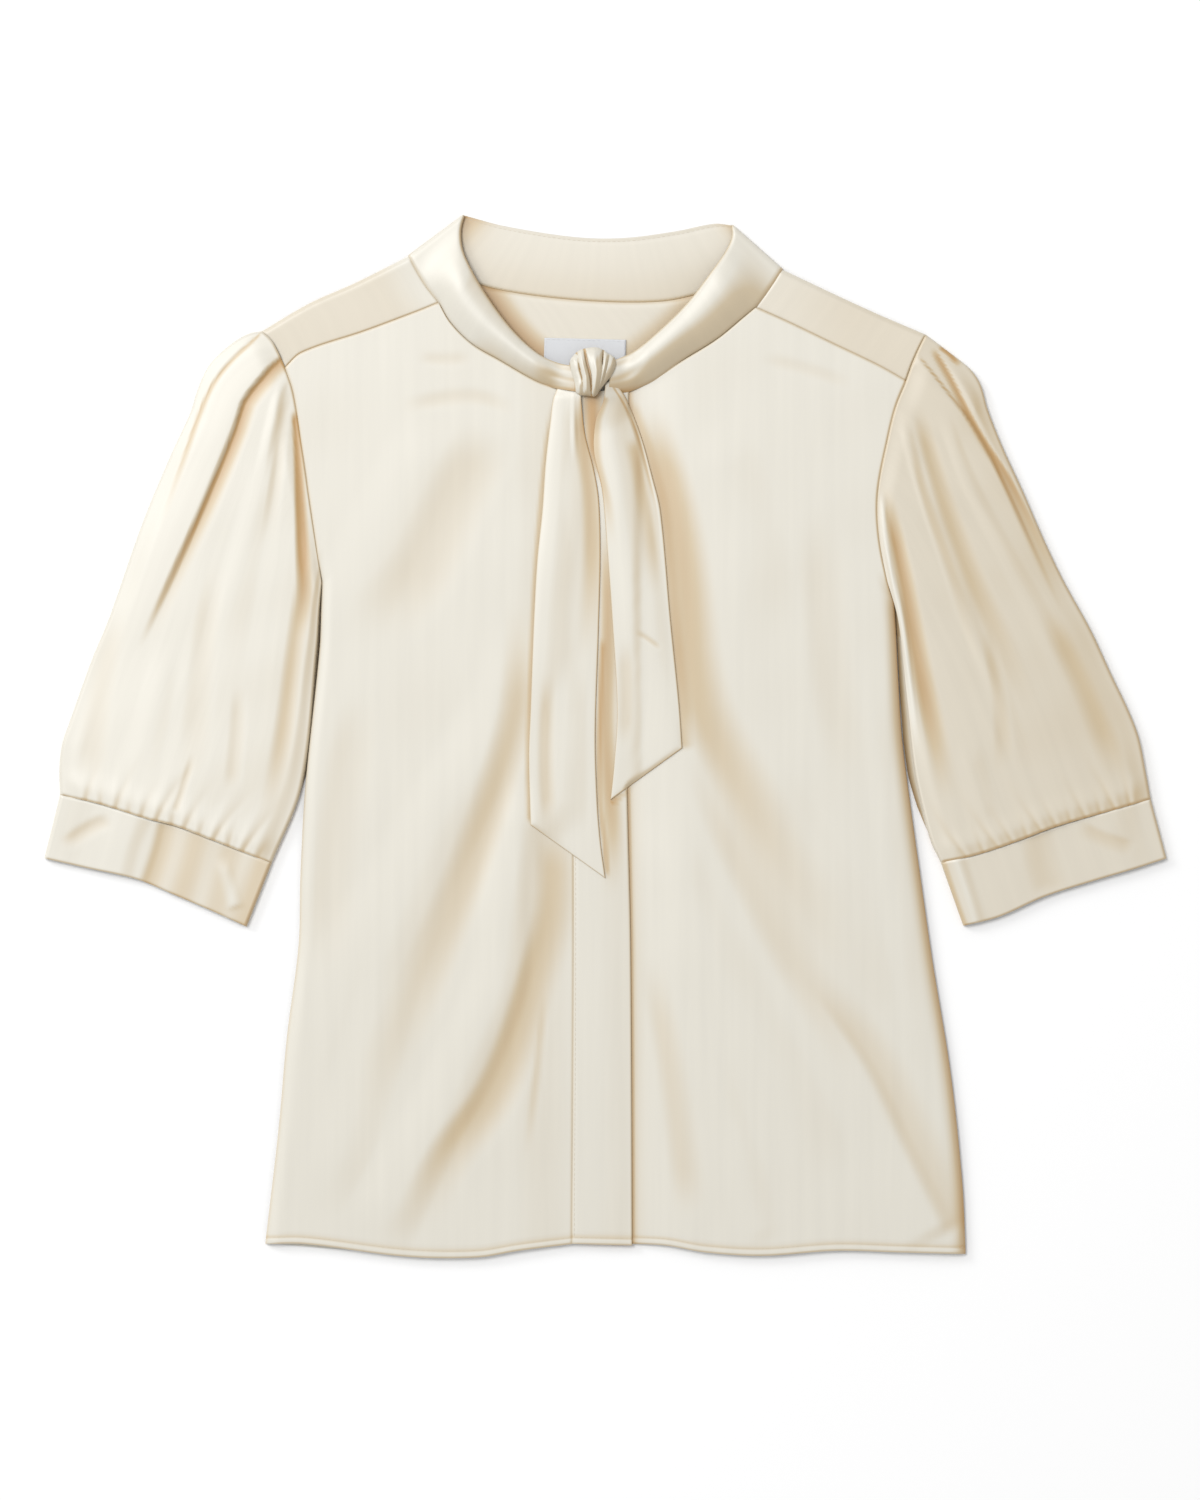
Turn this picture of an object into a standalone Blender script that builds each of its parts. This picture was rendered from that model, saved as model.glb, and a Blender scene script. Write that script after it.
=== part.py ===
"""Cream satin blouse with a tied neckband and puffed elbow sleeves, lying flat on its back.

Every sewn piece is one thin closed solid. Plan tables are in millimetres, seen from above
with the neck towards +Y; the wearer's right side lies at -X. The surface under the blouse
is z = 0, and the origin is the middle of the blouse's outline on that surface.
"""
import math

import bmesh
import bpy
from mathutils import Vector

MM = 0.001

# Driving sizes in millimetres
WALL = 1.0
TIE_WALL = 1.4
PLACKET_WALL = 1.3
SEAM_GAP = 0.3
FOLD_HEIGHT = 3.6
SIDE_SEAM_TOP = 2 * WALL + SEAM_GAP
SIDE_ROUND = 9.0
SIDE_ROUND_COLUMN = 0.35
UNDERLAP_TOP = 2.6
UNDERLAP_RAMP = (1.0, 15.0)
PLACKET_TOP = 4.4
PLACKET_RAMP = 34.0
TIE_CLEARANCE = 0.5
KNOT_SIZE = (28.5, 30.0, 13.0)
KNOT_CENTRE = (-7.0, 218.0, 12.6)
UNDER_KNOT_TOP = 7.9
LABEL_SIZE = (49.0, 21.0, 1.0)
LABEL_CENTRE = (-12.4, 228.0)
LABEL_TILT = -1.4

# A soft fold of doubled cloth in section: distance in from the folded edge, height
FOLD_TOP = ((0.0, FOLD_HEIGHT / 2), (0.8, FOLD_HEIGHT - 0.35), (2.2, FOLD_HEIGHT))
FOLD_BOTTOM = ((0.8, 0.35), (2.2, 0.0))

# Seam curves in plan: x, y, steps to the next point
ARMHOLE_RIGHT = (
    (-206, 243, 1), (-200, 237, 1), (-196, 230, 1), (-192, 221, 1),
    (-187, 206, 2), (-182, 175, 2), (-177, 140, 2), (-173, 108, 1), (-164, 94, 0))
ARMHOLE_LEFT = (
    (192, 241, 1), (188, 233, 1), (184, 224, 1), (180, 213, 1), (174, 198, 2),
    (169, 178, 2), (163, 146, 2), (162, 110, 1), (160, 98, 0))
FLAP_CORNER = 3
BACK_YOKE_CORNER = 6

SHOULDER_RIGHT = ((-206, 243, 2), (-177, 260, 2), (-150, 272, 2), (-118, 288, 0))
SHOULDER_LEFT = ((106, 280, 2), (142, 263, 2), (164, 253, 2), (192, 241, 0))
YOKE_SEAM_RIGHT = ((-192, 221, 1), (-182, 230, 3), (-144, 243, 2), (-112, 255, 1), (-100, 260, 0))
YOKE_SEAM_LEFT = ((90, 257, 1), (110, 248, 2), (137, 235, 2), (164, 222, 2), (180, 213, 0))
FLAP_NECK_RIGHT = ((-118, 288, 1), (-112, 277, 1), (-107, 269, 1), (-100, 260, 0))
FLAP_NECK_LEFT = ((106, 280, 1), (101, 272, 1), (96, 265, 1), (90, 257, 0))
BACK_NECK = (
    (-118, 288, 2), (-75, 271, 2), (-46, 265, 2), (-4, 261, 2), (33, 261, 1), (54, 265, 2),
    (106, 280, 0))
FRONT_NECK_RIGHT = (
    (-100, 260, 2), (-93, 248, 2), (-80, 235, 2), (-63, 225, 2), (-42, 213, 1), (-31, 209, 1),
    (-20, 206, 0))
FRONT_NECK_LEFT = (
    (14, 208, 1), (30, 215, 2), (46, 225, 2), (67, 238, 2), (84, 252, 2), (90, 257, 0))

# Side edges of the body, from the underarm to the hem
SIDE_RIGHT = (
    (-164, 94), (-169, 76), (-171.5, 52), (-180, -30), (-183, -86), (-184, -125), (-191, -180),
    (-196, -235), (-204, -304))
SIDE_LEFT = (
    (160, 98), (166, 85), (172.5, 66), (175.5, 35), (178, -3), (183, -42), (188, -78), (196, -134),
    (207, -202), (214, -268), (216, -310))
SIDE_STEPS = 17
BACK_COLUMNS = 6
PLACKET_STEPS = 20

# Hem edges
HEM_RIGHT = ((-204, -304), (-180, -304), (-119, -311.5), (-77, -312), (-52, -308), (-20, -304))
HEM_UNDERLAP = (
    (-15, -303), (18, -304), (37, -305), (60, -309), (94, -311), (138, -308), (177, -309), (216, -310))
HEM_BACK = ((-204, -304), (-120, -309), (-20, -301), (60, -307), (140, -307), (216, -310))

# Centre front: the placket's sewn edge, its free edge and the underlap's edge
PLACKET_SEWN = ((-20, 206), (-20, 60), (-19, -98), (-20, -304))
PLACKET_FREE = ((14, 208), (12, 100), (13, -33), (15, -124), (16, -305))
UNDERLAP_EDGE = ((-15, 205), (-15, 60), (-14, -98), (-15, -303))

# Sleeve edges, from the shoulder or the underarm to the cuff seam
SLEEVE_OUTER_RIGHT = (
    (-206, 243), (-214, 241.5), (-225, 235), (-238, 222), (-245, 207), (-249, 194), (-261, 168),
    (-278, 127), (-298, 70), (-308, 46), (-322, 7), (-326, -5), (-327.5, -20), (-327, -35))
SLEEVE_INNER_RIGHT = ((-164, 94), (-171.5, 76), (-174, 52), (-182, -30), (-200, -76))
CUFF_SEAM_RIGHT = ((-327, -35), (-303, -40.5), (-274, -49.5), (-258, -53.5), (-237, -61.5), (-200, -76))
CUFF_END_RIGHT = ((-336.5, -73), (-310, -79), (-281, -85.5), (-258, -95), (-237, -104), (-215, -114))
SLEEVE_OUTER_LEFT = (
    (192, 241), (208, 229), (219, 220), (225, 211), (229, 197), (238, 174), (250, 148), (263, 118),
    (275, 93), (291, 64), (304, 36), (314, 15), (320, -1), (324, -21), (327, -37.5))
SLEEVE_INNER_LEFT = (
    (160, 98), (168.5, 85), (175.5, 66), (181, 16), (185, -20), (189.5, -42), (195, -63), (201, -75.5))
CUFF_SEAM_LEFT = ((327, -37.5), (308, -43), (270, -54), (246, -63), (222, -71), (201, -75.5))
CUFF_END_LEFT = ((336.5, -73), (318, -79), (291, -87), (263, -96), (236, -108), (214.5, -113.5))
SLEEVE_ROWS = (0.0, 0.04, 0.1, 0.18, 0.27, 0.37, 0.48, 0.59, 0.69, 0.78, 0.86, 0.92, 0.965, 1.0)
CUFF_ROWS = (0.0, 0.33, 0.66, 1.0)
SLEEVE_FINE = 3

# Neckband, free edges in plan from the shoulder fold to the knot, and round the back
BAND_FREE_RIGHT = (
    (-85, 312.5), (-87, 303), (-86, 292), (-81, 280), (-71, 263), (-56, 243), (-41, 229),
    (-28, 223), (-17, 221.5))
BAND_FREE_LEFT = (
    (76, 306.5), (76, 299), (72, 290), (63, 277), (50, 260), (33, 243), (17, 230), (3, 224))
BAND_FREE_BACK = (
    (-85, 312.5), (-60, 306), (-18, 299.5), (11, 299), (42, 303), (65, 307.5), (76, 306.5))
# Where each front half of the band ends under the knot
BAND_END_RIGHT = (-17, 208.5)
BAND_END_LEFT = (5.5, 214.5)
BAND_CORNER_SLANT = 1.4
BAND_ACROSS = 6
BAND_RISE = 4.6
BAND_CROWN = 2.0
# Shares of the band's length from the shoulder: where it opens, narrows and goes under the knot
BAND_OPENS = (0.02, 0.32)
BAND_NARROWS = (0.78, 0.98)
BAND_TUCKS = (0.86, 0.96)
NARROW_RISE_LOSS = 0.55
NARROW_CROWN_LOSS = 0.7

# Ties in plan: left and right edges from the knot to the slanted end
TIE_RIGHT_OUTER = (
    (-26, 205), (-33, 188), (-36, 164), (-38, 135), (-41, 106), (-43, 70), (-45, 15), (-46, -11),
    (-45, -53))
TIE_RIGHT_INNER = (
    (-10, 208), (-12, 184), (-8, 160), (-4, 142), (-3, 112), (-4, 67), (-6, 2), (-5, -37),
    (-3, -63), (0, -85))
TIE_LEFT_INNER = (
    (-5, 210), (-6, 190), (-6.5, 172), (-2, 147), (1, 112), (4, 70), (7, 15), (5, -18), (3, -38))
TIE_LEFT_OUTER = (
    (5, 212), (12, 203), (21, 181), (28, 156), (33, 135), (39, 70), (44, 21), (46, -7))
TIE_ROWS = 26
TIE_ACROSS = 5
TIE_TUCK_ROWS = 3
TIE_RIDGE_RIGHT = 1.2
TIE_RIDGE_LEFT = 1.6
TIE_RIDGE_LOSS = 0.6
# How far round a place on a tie the cloth below it is looked at, along x and y
TIE_REACH = (7, 9)
PLACKET_REACH = 4.0

# Soft folds lying on the panels: route in plan, height, width to its left and to its right
FRONT_RIGHT_FOLDS = (
    {"route": ((-52, 186), (-88, 140), (-118, 104), (-150, 80)), "height": 1.9, "left": 22, "right": 26},
    {"route": ((-104, 236), (-76, 212), (-50, 196)), "height": 1.0, "left": 12, "right": 12},
    {"route": ((-66, 120), (-71, 20), (-104, -70)), "height": 1.7, "left": 24, "right": 20},
    {"route": ((-55, -80), (-63, -149), (-91, -212), (-119, -267), (-140, -312)), "height": 2.2,
     "left": 26, "right": 22},
    {"route": ((-108, -70), (-142, -196), (-158, -290)), "height": 1.6, "left": 22, "right": 24},
    {"route": ((-160, 40), (-150, -60), (-166, -190)), "height": 1.0, "left": 16, "right": 20},
)
FRONT_LEFT_FOLDS = (
    {"route": ((84, 214), (98, 150), (92, 60)), "height": 1.2, "left": 22, "right": 26},
    {"route": ((62, 20), (80, -50), (108, -120), (136, -170)), "height": 1.9, "left": 24, "right": 26},
    {"route": ((112, -140), (148, -192), (177, -250), (205, -306)), "height": 2.2, "left": 10, "right": 30},
    {"route": ((40, -150), (60, -230), (70, -308)), "height": 1.4, "left": 20, "right": 24},
    {"route": ((138, 60), (150, -20), (162, -90)), "height": 1.3, "left": 20, "right": 24},
    {"route": ((104, -238), (116, -310)), "height": 1.2, "left": 16, "right": 18},
)
SLEEVE_RIGHT_FOLDS = (
    {"route": ((-214, 234), (-236, 206), (-246, 172), (-266, 118)), "height": 1.6, "left": 8, "right": 14},
    {"route": ((-200, 231), (-224, 202), (-240, 160), (-266, 100), (-292, 34)), "height": 2.2,
     "left": 16, "right": 6},
    {"route": ((-192, 214), (-206, 172), (-222, 112), (-244, 40)), "height": 1.9, "left": 14, "right": 12},
    {"route": ((-182, 160), (-192, 110), (-200, 40), (-212, -30)), "height": 1.5, "left": 12, "right": 14},
    {"route": ((-240, 80), (-256, 10), (-266, -40)), "height": 1.2, "left": 12, "right": 12},
)
SLEEVE_LEFT_FOLDS = (
    {"route": ((190, 232), (206, 208), (226, 172), (248, 124), (272, 72)), "height": 2.2,
     "left": 14, "right": 6},
    {"route": ((205, 226), (222, 198), (242, 154), (268, 96), (296, 36)), "height": 1.6,
     "left": 8, "right": 12},
    {"route": ((181, 208), (188, 176), (202, 120), (222, 60)), "height": 1.8, "left": 9, "right": 9},
    {"route": ((170, 180), (180, 138), (194, 84), (210, 10)), "height": 1.7, "left": 9, "right": 10},
    {"route": ((186, 60), (198, 0), (208, -50)), "height": 1.2, "left": 10, "right": 12},
    {"route": ((240, 60), (262, 0), (276, -44)), "height": 1.2, "left": 12, "right": 12},
)
# Gathers above the cuff: place across from the outer edge, length up the sleeve, height
SLEEVE_RIGHT_GATHERS = (
    (0.10, 26, 1.4), (0.17, 18, 1.2), (0.24, 30, 1.6), (0.30, 15, 1.1), (0.36, 24, 1.5), (0.43, 42, 1.7),
    (0.50, 20, 1.3), (0.56, 28, 1.5), (0.63, 16, 1.2), (0.70, 36, 1.6), (0.77, 22, 1.3), (0.84, 40, 1.6),
    (0.91, 18, 1.1))
SLEEVE_LEFT_GATHERS = (
    (0.08, 24, 1.3), (0.15, 34, 1.6), (0.22, 18, 1.2), (0.29, 28, 1.5), (0.36, 16, 1.2), (0.43, 22, 1.5),
    (0.50, 32, 1.6), (0.57, 18, 1.2), (0.64, 26, 1.5), (0.71, 38, 1.6), (0.78, 20, 1.3), (0.86, 44, 1.6))
GATHER_HALF_WIDTH = 0.032
# Sleeve folds start this far in from its folded sides, and are low beside the armhole seam
RELIEF_RAMP = 14.0
RELIEF_MOST = 2.4
CAP_RELIEF_START = 0.35
CAP_RELIEF_RISE = 8.0
CUFF_STEPS = 11
CUFF_SWELL = 0.7

# Points along a smooth curve between two table rows, and along a fold
CURVE_STEPS = 12
FOLD_STEPS = 12
# Height share of a fold at its ends, and how fast it grows from its start and its end
FOLD_END_SHARE = 0.25
FOLD_START_RISE = 5
FOLD_END_RISE = 4

# Knot: grooves between its strands, each a place across and a depth
KNOT_GROOVES = ((-8.5, 0.9), (-3.0, 1.5), (3.4, 1.2), (8.0, 0.8))
GROOVE_HALF_WIDTH = 2.2
GROOVE_LEAN = 0.1
KNOT_TOP_SPREAD = 0.12
KNOT_SEGMENTS = 28
KNOT_RINGS = 16

# Colours of the pieces, with the satin's roughness
CREAM = (0.83, 0.78, 0.68, 1.0)
LABEL_GREY = (0.66, 0.67, 0.69, 1.0)
SATIN_ROUGHNESS = 0.38
LABEL_ROUGHNESS = 0.75


def curve_point(points, i, t):
    """A point between points i and i + 1 on the smooth curve through all of them."""
    before = points[max(i - 1, 0)]
    start = points[i]
    end = points[i + 1]
    after = points[min(i + 2, len(points) - 1)]
    chord = (end - start).length
    lean_in = (end - before) * (chord / max((end - before).length, 1e-9))
    lean_out = (after - start) * (chord / max((after - start).length, 1e-9))
    a = 2 * t ** 3 - 3 * t ** 2 + 1
    b = t ** 3 - 2 * t ** 2 + t
    c = -2 * t ** 3 + 3 * t ** 2
    d = t ** 3 - t ** 2
    return start * a + lean_in * b + end * c + lean_out * d


def seam(table):
    """Points along a seam table, with the number of steps that each row gives."""
    points = [Vector(row[:2]) for row in table]
    stations = []
    for i, row in enumerate(table[:-1]):
        stations += [curve_point(points, i, k / row[2]) for k in range(row[2])]
    return stations + [points[-1]]


def smooth(table, fractions):
    """Points at given fractions of the length of the smooth curve through a table."""
    points = [Vector(row[:2]) for row in table]
    dense = [curve_point(points, i, t) for i in range(len(points) - 1) for t in even(CURVE_STEPS)[:-1]]
    return at_fractions(dense + [points[-1]], fractions)


def lengths(points):
    """Running length along a line of points."""
    total = [0.0]
    for a, b in zip(points, points[1:]):
        total.append(total[-1] + (b - a).length)
    return total


def at_fractions(points, fractions):
    """Points at given fractions of a line's length."""
    run = lengths(points)
    result = []
    for fraction in fractions:
        goal = min(max(fraction, 0.0), 1.0) * run[-1]
        i = 0
        while i < len(points) - 2 and run[i + 1] < goal:
            i += 1
        span = run[i + 1] - run[i]
        result.append(points[i].lerp(points[i + 1], (goal - run[i]) / span if span else 0.0))
    return result


def even(count):
    return [i / count for i in range(count + 1)]


def shift(points, gap, side):
    """Moves of each point by gap to the left (side 1) or the right (side -1) of the line."""
    moves = []
    for i, point in enumerate(points):
        back = points[max(i - 1, 0)]
        ahead = points[min(i + 1, len(points) - 1)]
        into = (point - back).normalized() if i else (ahead - point).normalized()
        out = (ahead - point).normalized() if i < len(points) - 1 else into
        normal_in = Vector((-into.y, into.x)) * side
        normal_out = Vector((-out.y, out.x)) * side
        mitre = (normal_in + normal_out).normalized()
        moves.append(mitre * (gap / max(mitre.dot(normal_out), 0.5)))
    return moves


def patch(north, south, west, east, sewn=""):
    """Plan grid between four lines that meet at its corners; sewn sides are moved in by half a gap.

    North and south run from west to east, west and east from north to south.
    """
    gap = SEAM_GAP / 2
    sides = {
        "n": shift(north, gap if "n" in sewn else 0, -1),
        "s": shift(south, gap if "s" in sewn else 0, 1),
        "w": shift(west, gap if "w" in sewn else 0, 1),
        "e": shift(east, gap if "e" in sewn else 0, -1)}
    north = [p + m for p, m in zip(north, sides["n"])]
    south = [p + m for p, m in zip(south, sides["s"])]
    west = [p + m for p, m in zip(west, sides["w"])]
    east = [p + m for p, m in zip(east, sides["e"])]
    north[0], west[0] = north[0] + sides["w"][0], west[0] + sides["n"][0]
    north[-1], east[0] = north[-1] + sides["e"][0], east[0] + sides["n"][-1]
    south[0], west[-1] = south[0] + sides["w"][-1], west[-1] + sides["s"][0]
    south[-1], east[-1] = south[-1] + sides["e"][-1], east[-1] + sides["s"][-1]
    runs = [lengths(line) for line in (north, south, west, east)]
    across = [(a / runs[0][-1] + b / runs[1][-1]) / 2 for a, b in zip(runs[0], runs[1])]
    down = [(a / runs[2][-1] + b / runs[3][-1]) / 2 for a, b in zip(runs[2], runs[3])]
    rows = []
    for j, v in enumerate(down):
        row = []
        for i, u in enumerate(across):
            ruled = north[i] * (1 - v) + south[i] * v + west[j] * (1 - u) + east[j] * u
            upper = north[0] * (1 - u) + north[-1] * u
            lower = south[0] * (1 - u) + south[-1] * u
            row.append(ruled - upper * (1 - v) - lower * v)
        rows.append(row)
    return rows


def share_of(span, value):
    """How far a value lies through a span, from 0 to 1."""
    return min(max((value - span[0]) / (span[1] - span[0]), 0.0), 1.0)


def eased(share):
    """A share that starts and ends softly."""
    return share * share * (3 - 2 * share)


def bump(distance):
    """A soft ridge's section, 1 on its line and 0 from a distance of 1."""
    return (1 - min(abs(distance), 1.0) ** 2) ** 2


def fold_height(x, y, folds):
    """Height that the folds of a panel add at a place in plan."""
    total = 0.0
    here = Vector((x, y))
    for fold in folds:
        line = smooth(fold["route"], even(FOLD_STEPS))
        run = lengths(line)
        best = None
        for k, (a, b) in enumerate(zip(line, line[1:])):
            span = b - a
            t = min(max((here - a).dot(span) / span.length_squared, 0.0), 1.0)
            off = here - (a + span * t)
            if best is None or off.length < best[0]:
                side = span.x * off.y - span.y * off.x
                best = (off.length, side, (run[k] + t * span.length) / run[-1])
        width = fold["left"] if best[1] > 0 else fold["right"]
        start = best[2] * FOLD_START_RISE + FOLD_END_SHARE
        end = (1 - best[2]) * FOLD_END_RISE + FOLD_END_SHARE
        ends = min(1.0, start, end)
        total += fold["height"] * bump(best[0] / width) * ends
    return total


def front_right_top(x, y):
    """Outer height of the overlapping front, rising to its placket."""
    ramp = min(max(1 - (PLACKET_SEWN[0][0] - x) / PLACKET_RAMP, 0.0), 1.0)
    lift = (PLACKET_TOP - FOLD_HEIGHT) * eased(ramp)
    return FOLD_HEIGHT + lift + fold_height(x, y, FRONT_RIGHT_FOLDS) * (1 - ramp)


def front_left_top(x, y):
    """Outer height of the underlapping front, low where the placket lies on it."""
    clear = eased(share_of(UNDERLAP_RAMP, x - PLACKET_FREE[-1][0]))
    return UNDERLAP_TOP + (FOLD_HEIGHT - UNDERLAP_TOP) * clear + fold_height(x, y, FRONT_LEFT_FOLDS) * clear


def under_ties(x, y):
    """Highest cloth under a place on the ties."""
    if x < PLACKET_SEWN[0][0]:
        return front_right_top(x, y)
    if x < PLACKET_FREE[-1][0] + PLACKET_REACH:
        return PLACKET_TOP
    return front_left_top(x, y)


def add_rows(bm, rows, closed=False):
    """Quads between rows of points; closed joins each row's end to its start."""
    grid = [[bm.verts.new(Vector(p) * MM) for p in row] for row in rows]
    faces = []
    for upper, lower in zip(grid, grid[1:]):
        count = len(upper)
        for i in range(count if closed else count - 1):
            k = (i + 1) % count
            faces.append(bm.faces.new((upper[i], lower[i], lower[k], upper[k])))
    return faces


def cloth(name, parts, wall, probe=(0, 0), closed=False):
    """One sewn piece: its outer surface from rows of points, and a wall thickened inwards."""
    bm = bmesh.new()
    strips = [add_rows(bm, rows, closed) for rows in parts]
    bmesh.ops.remove_doubles(bm, verts=bm.verts, dist=1e-7)
    bm.normal_update()
    strip, index = probe
    if strips[strip][index].normal.z < 0:
        bmesh.ops.reverse_faces(bm, faces=bm.faces)
    mesh = bpy.data.meshes.new(name)
    bm.to_mesh(mesh)
    bm.free()
    mesh.shade_smooth()
    piece = bpy.data.objects.new(name, mesh)
    piece.data.materials.append(satin)
    shell = piece.modifiers.new("Wall", "SOLIDIFY")
    shell.thickness = wall * MM
    shell.offset = -1
    shell.use_even_offset = True
    blouse.objects.link(piece)
    return piece


def raised(rows, height):
    return [[(p.x, p.y, height(p.x, p.y)) for p in row] for row in rows]


def fold_stations(points, both=False, slant=1.0):
    """A line's points with the two close to its folded start, and to its end, added."""
    first = points[1] - points[0]
    near = [points[0] + first.normalized() * inset * slant for inset, _ in FOLD_TOP[1:]]
    result = [points[0]] + near + points[1:]
    if both:
        last = points[-2] - points[-1]
        near = [points[-1] + last.normalized() * inset for inset, _ in reversed(FOLD_TOP[1:])]
        result = result[:-1] + near + [points[-1]]
    return result


def make_material(name, colour, roughness):
    material = bpy.data.materials.new(name)
    material.use_nodes = True
    shader = material.node_tree.nodes["Principled BSDF"]
    shader.inputs["Base Color"].default_value = colour
    shader.inputs["Roughness"].default_value = roughness
    shader.inputs["Metallic"].default_value = 0.0
    return material


def make_back():
    """Back panel below the yoke, flat on the surface."""
    arm_right = seam(ARMHOLE_RIGHT)[BACK_YOKE_CORNER:]
    arm_left = seam(ARMHOLE_LEFT)[BACK_YOKE_CORNER:]
    side_right = smooth(SIDE_RIGHT, even(SIDE_STEPS))
    side_left = smooth(SIDE_LEFT, even(SIDE_STEPS))
    north = at_fractions([arm_right[0], arm_left[0]], even(BACK_COLUMNS))
    south = smooth(HEM_BACK, even(BACK_COLUMNS))
    rows = patch(north, south, arm_right + side_right[1:], arm_left + side_left[1:], "nwe")
    cloth("back", [raised(rows, lambda x, y: WALL)], WALL)


def make_yoke():
    """Yoke: the back's top, folded over at the shoulders and sewn to both fronts."""
    arm_right, arm_left = seam(ARMHOLE_RIGHT), seam(ARMHOLE_LEFT)
    fold_right, fold_left = seam(SHOULDER_RIGHT), seam(SHOULDER_LEFT)
    neck = seam(BACK_NECK)
    flap_right = patch(
        fold_right, seam(YOKE_SEAM_RIGHT), fold_stations(arm_right[:FLAP_CORNER + 1]),
        fold_stations(seam(FLAP_NECK_RIGHT)), "swe")
    flap_left = patch(
        fold_left, seam(YOKE_SEAM_LEFT), fold_stations(seam(FLAP_NECK_LEFT)),
        fold_stations(arm_left[:FLAP_CORNER + 1]), "swe")
    start_right, start_left = fold_stations(arm_right)[2], fold_stations(arm_left)[2]
    west = [start_right] + arm_right[1:BACK_YOKE_CORNER + 1]
    east = [start_left] + arm_left[1:BACK_YOKE_CORNER + 1]
    middle = [p + m for p, m in zip(neck, shift(neck, SEAM_GAP / 2, -1))]
    north = flap_right[2] + middle[1:-1] + flap_left[2]
    south = at_fractions([west[-1], east[-1]], [k / (len(north) - 1) for k in range(len(north))])
    west[0], east[0] = north[0], north[-1]
    lower = patch(north, south, west, east, "s")
    gap = SEAM_GAP / 2
    for j in range(1, len(lower)):
        lower[j][0] = lower[j][0] + shift(west, gap, 1)[j]
        lower[j][-1] = lower[j][-1] + shift(east, gap, -1)[j]
    back_rows = [[(p.x, p.y, 0.0) for p in row] for row in reversed(lower)]
    count = len(fold_right)

    def flap(rows, columns):
        bottom = [[(p.x, p.y, FOLD_BOTTOM[0][1]) for p in rows[1]]]
        top = [[(p.x, p.y, FOLD_TOP[k][1]) for p in rows[k]] for k in range(3)]
        rest = [[(p.x, p.y, FOLD_HEIGHT) for p in row] for row in rows[3:]]
        return [back_rows[-1][columns]] + bottom + top + rest

    parts = [back_rows, flap(flap_right, slice(0, count)), flap(flap_left, slice(-count, None))]
    level_row = 4
    cloth("yoke", parts, WALL, probe=(1, level_row * (count - 1)))


def side_profile(rows, top, side):
    """Front heights, rounded down to the side seam over the last few millimetres."""
    result = []
    for row in rows:
        edge = row[0] if side == "w" else row[-1]
        line = []
        for p in row:
            lift = min((p - edge).length / SIDE_ROUND, 1.0)
            lift = math.sqrt(max(0.0, 1 - (1 - lift) ** 2))
            height = top(p.x, p.y)
            line.append((p.x, p.y, SIDE_SEAM_TOP + (height - SIDE_SEAM_TOP) * lift))
        result.append(line)
    return result


def front_rows(rows, top, side, arm_steps):
    """Heights of a front: level along the armhole, rounded down along the side below it."""
    level = [[(p.x, p.y, top(p.x, p.y)) for p in row] for row in rows]
    round_down = side_profile(rows, top, side)
    result = []
    for j, (a, b) in enumerate(zip(level, round_down)):
        t = min(max((j - arm_steps + 2) / 3, 0.0), 1.0)
        result.append([(p[0], p[1], p[2] * (1 - t) + q[2] * t) for p, q in zip(a, b)])
    return result


def with_edge_column(rows, side):
    """An extra column near the side edge, so that its rounding shows."""
    result = []
    for row in rows:
        if side == "w":
            inside = row[0] + (row[1] - row[0]).normalized() * SIDE_ROUND * SIDE_ROUND_COLUMN
            result.append([row[0], inside] + row[1:])
        else:
            inside = row[-1] + (row[-2] - row[-1]).normalized() * SIDE_ROUND * SIDE_ROUND_COLUMN
            result.append(row[:-1] + [inside, row[-1]])
    return result


def make_fronts():
    """Both front panels; the wearer's right one overlaps with its placket."""
    arm = seam(ARMHOLE_RIGHT)[FLAP_CORNER:]
    west = arm + smooth(SIDE_RIGHT, even(SIDE_STEPS))[1:]
    neck = seam(FRONT_NECK_RIGHT)
    north = seam(YOKE_SEAM_RIGHT) + neck[1:]
    columns, rows_count = len(north) - 1, len(west) - 1
    east = smooth(PLACKET_SEWN, even(rows_count))
    rows = patch(north, smooth(HEM_RIGHT, even(columns)), west, east, "nwe")
    rows = with_edge_column(rows, "w")
    cloth("front_right", [front_rows(rows, front_right_top, "w", len(arm) - 1)], WALL)

    arm = seam(ARMHOLE_LEFT)[FLAP_CORNER:]
    east = arm + smooth(SIDE_LEFT, even(SIDE_STEPS))[1:]
    neck = [Vector(UNDERLAP_EDGE[0])] + seam(FRONT_NECK_LEFT)
    north = neck + seam(YOKE_SEAM_LEFT)[1:]
    columns, rows_count = len(north) - 1, len(east) - 1
    west = smooth(UNDERLAP_EDGE, even(rows_count))
    rows = patch(north, smooth(HEM_UNDERLAP, even(columns)), west, east, "ne")
    rows = with_edge_column(rows, "e")
    cloth("front_left", [front_rows(rows, front_left_top, "e", len(arm) - 1)], WALL)


def make_placket():
    """Folded strip down the centre front, which hides the buttons."""
    west = smooth(PLACKET_SEWN, even(PLACKET_STEPS))
    east = smooth(PLACKET_FREE, even(PLACKET_STEPS))
    north = [west[0], east[0]]
    south = [west[-1], east[-1]]
    rows = patch(north, south, west, east, "nw")
    cloth("placket", [raised(rows, lambda x, y: PLACKET_TOP)], PLACKET_WALL)


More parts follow.
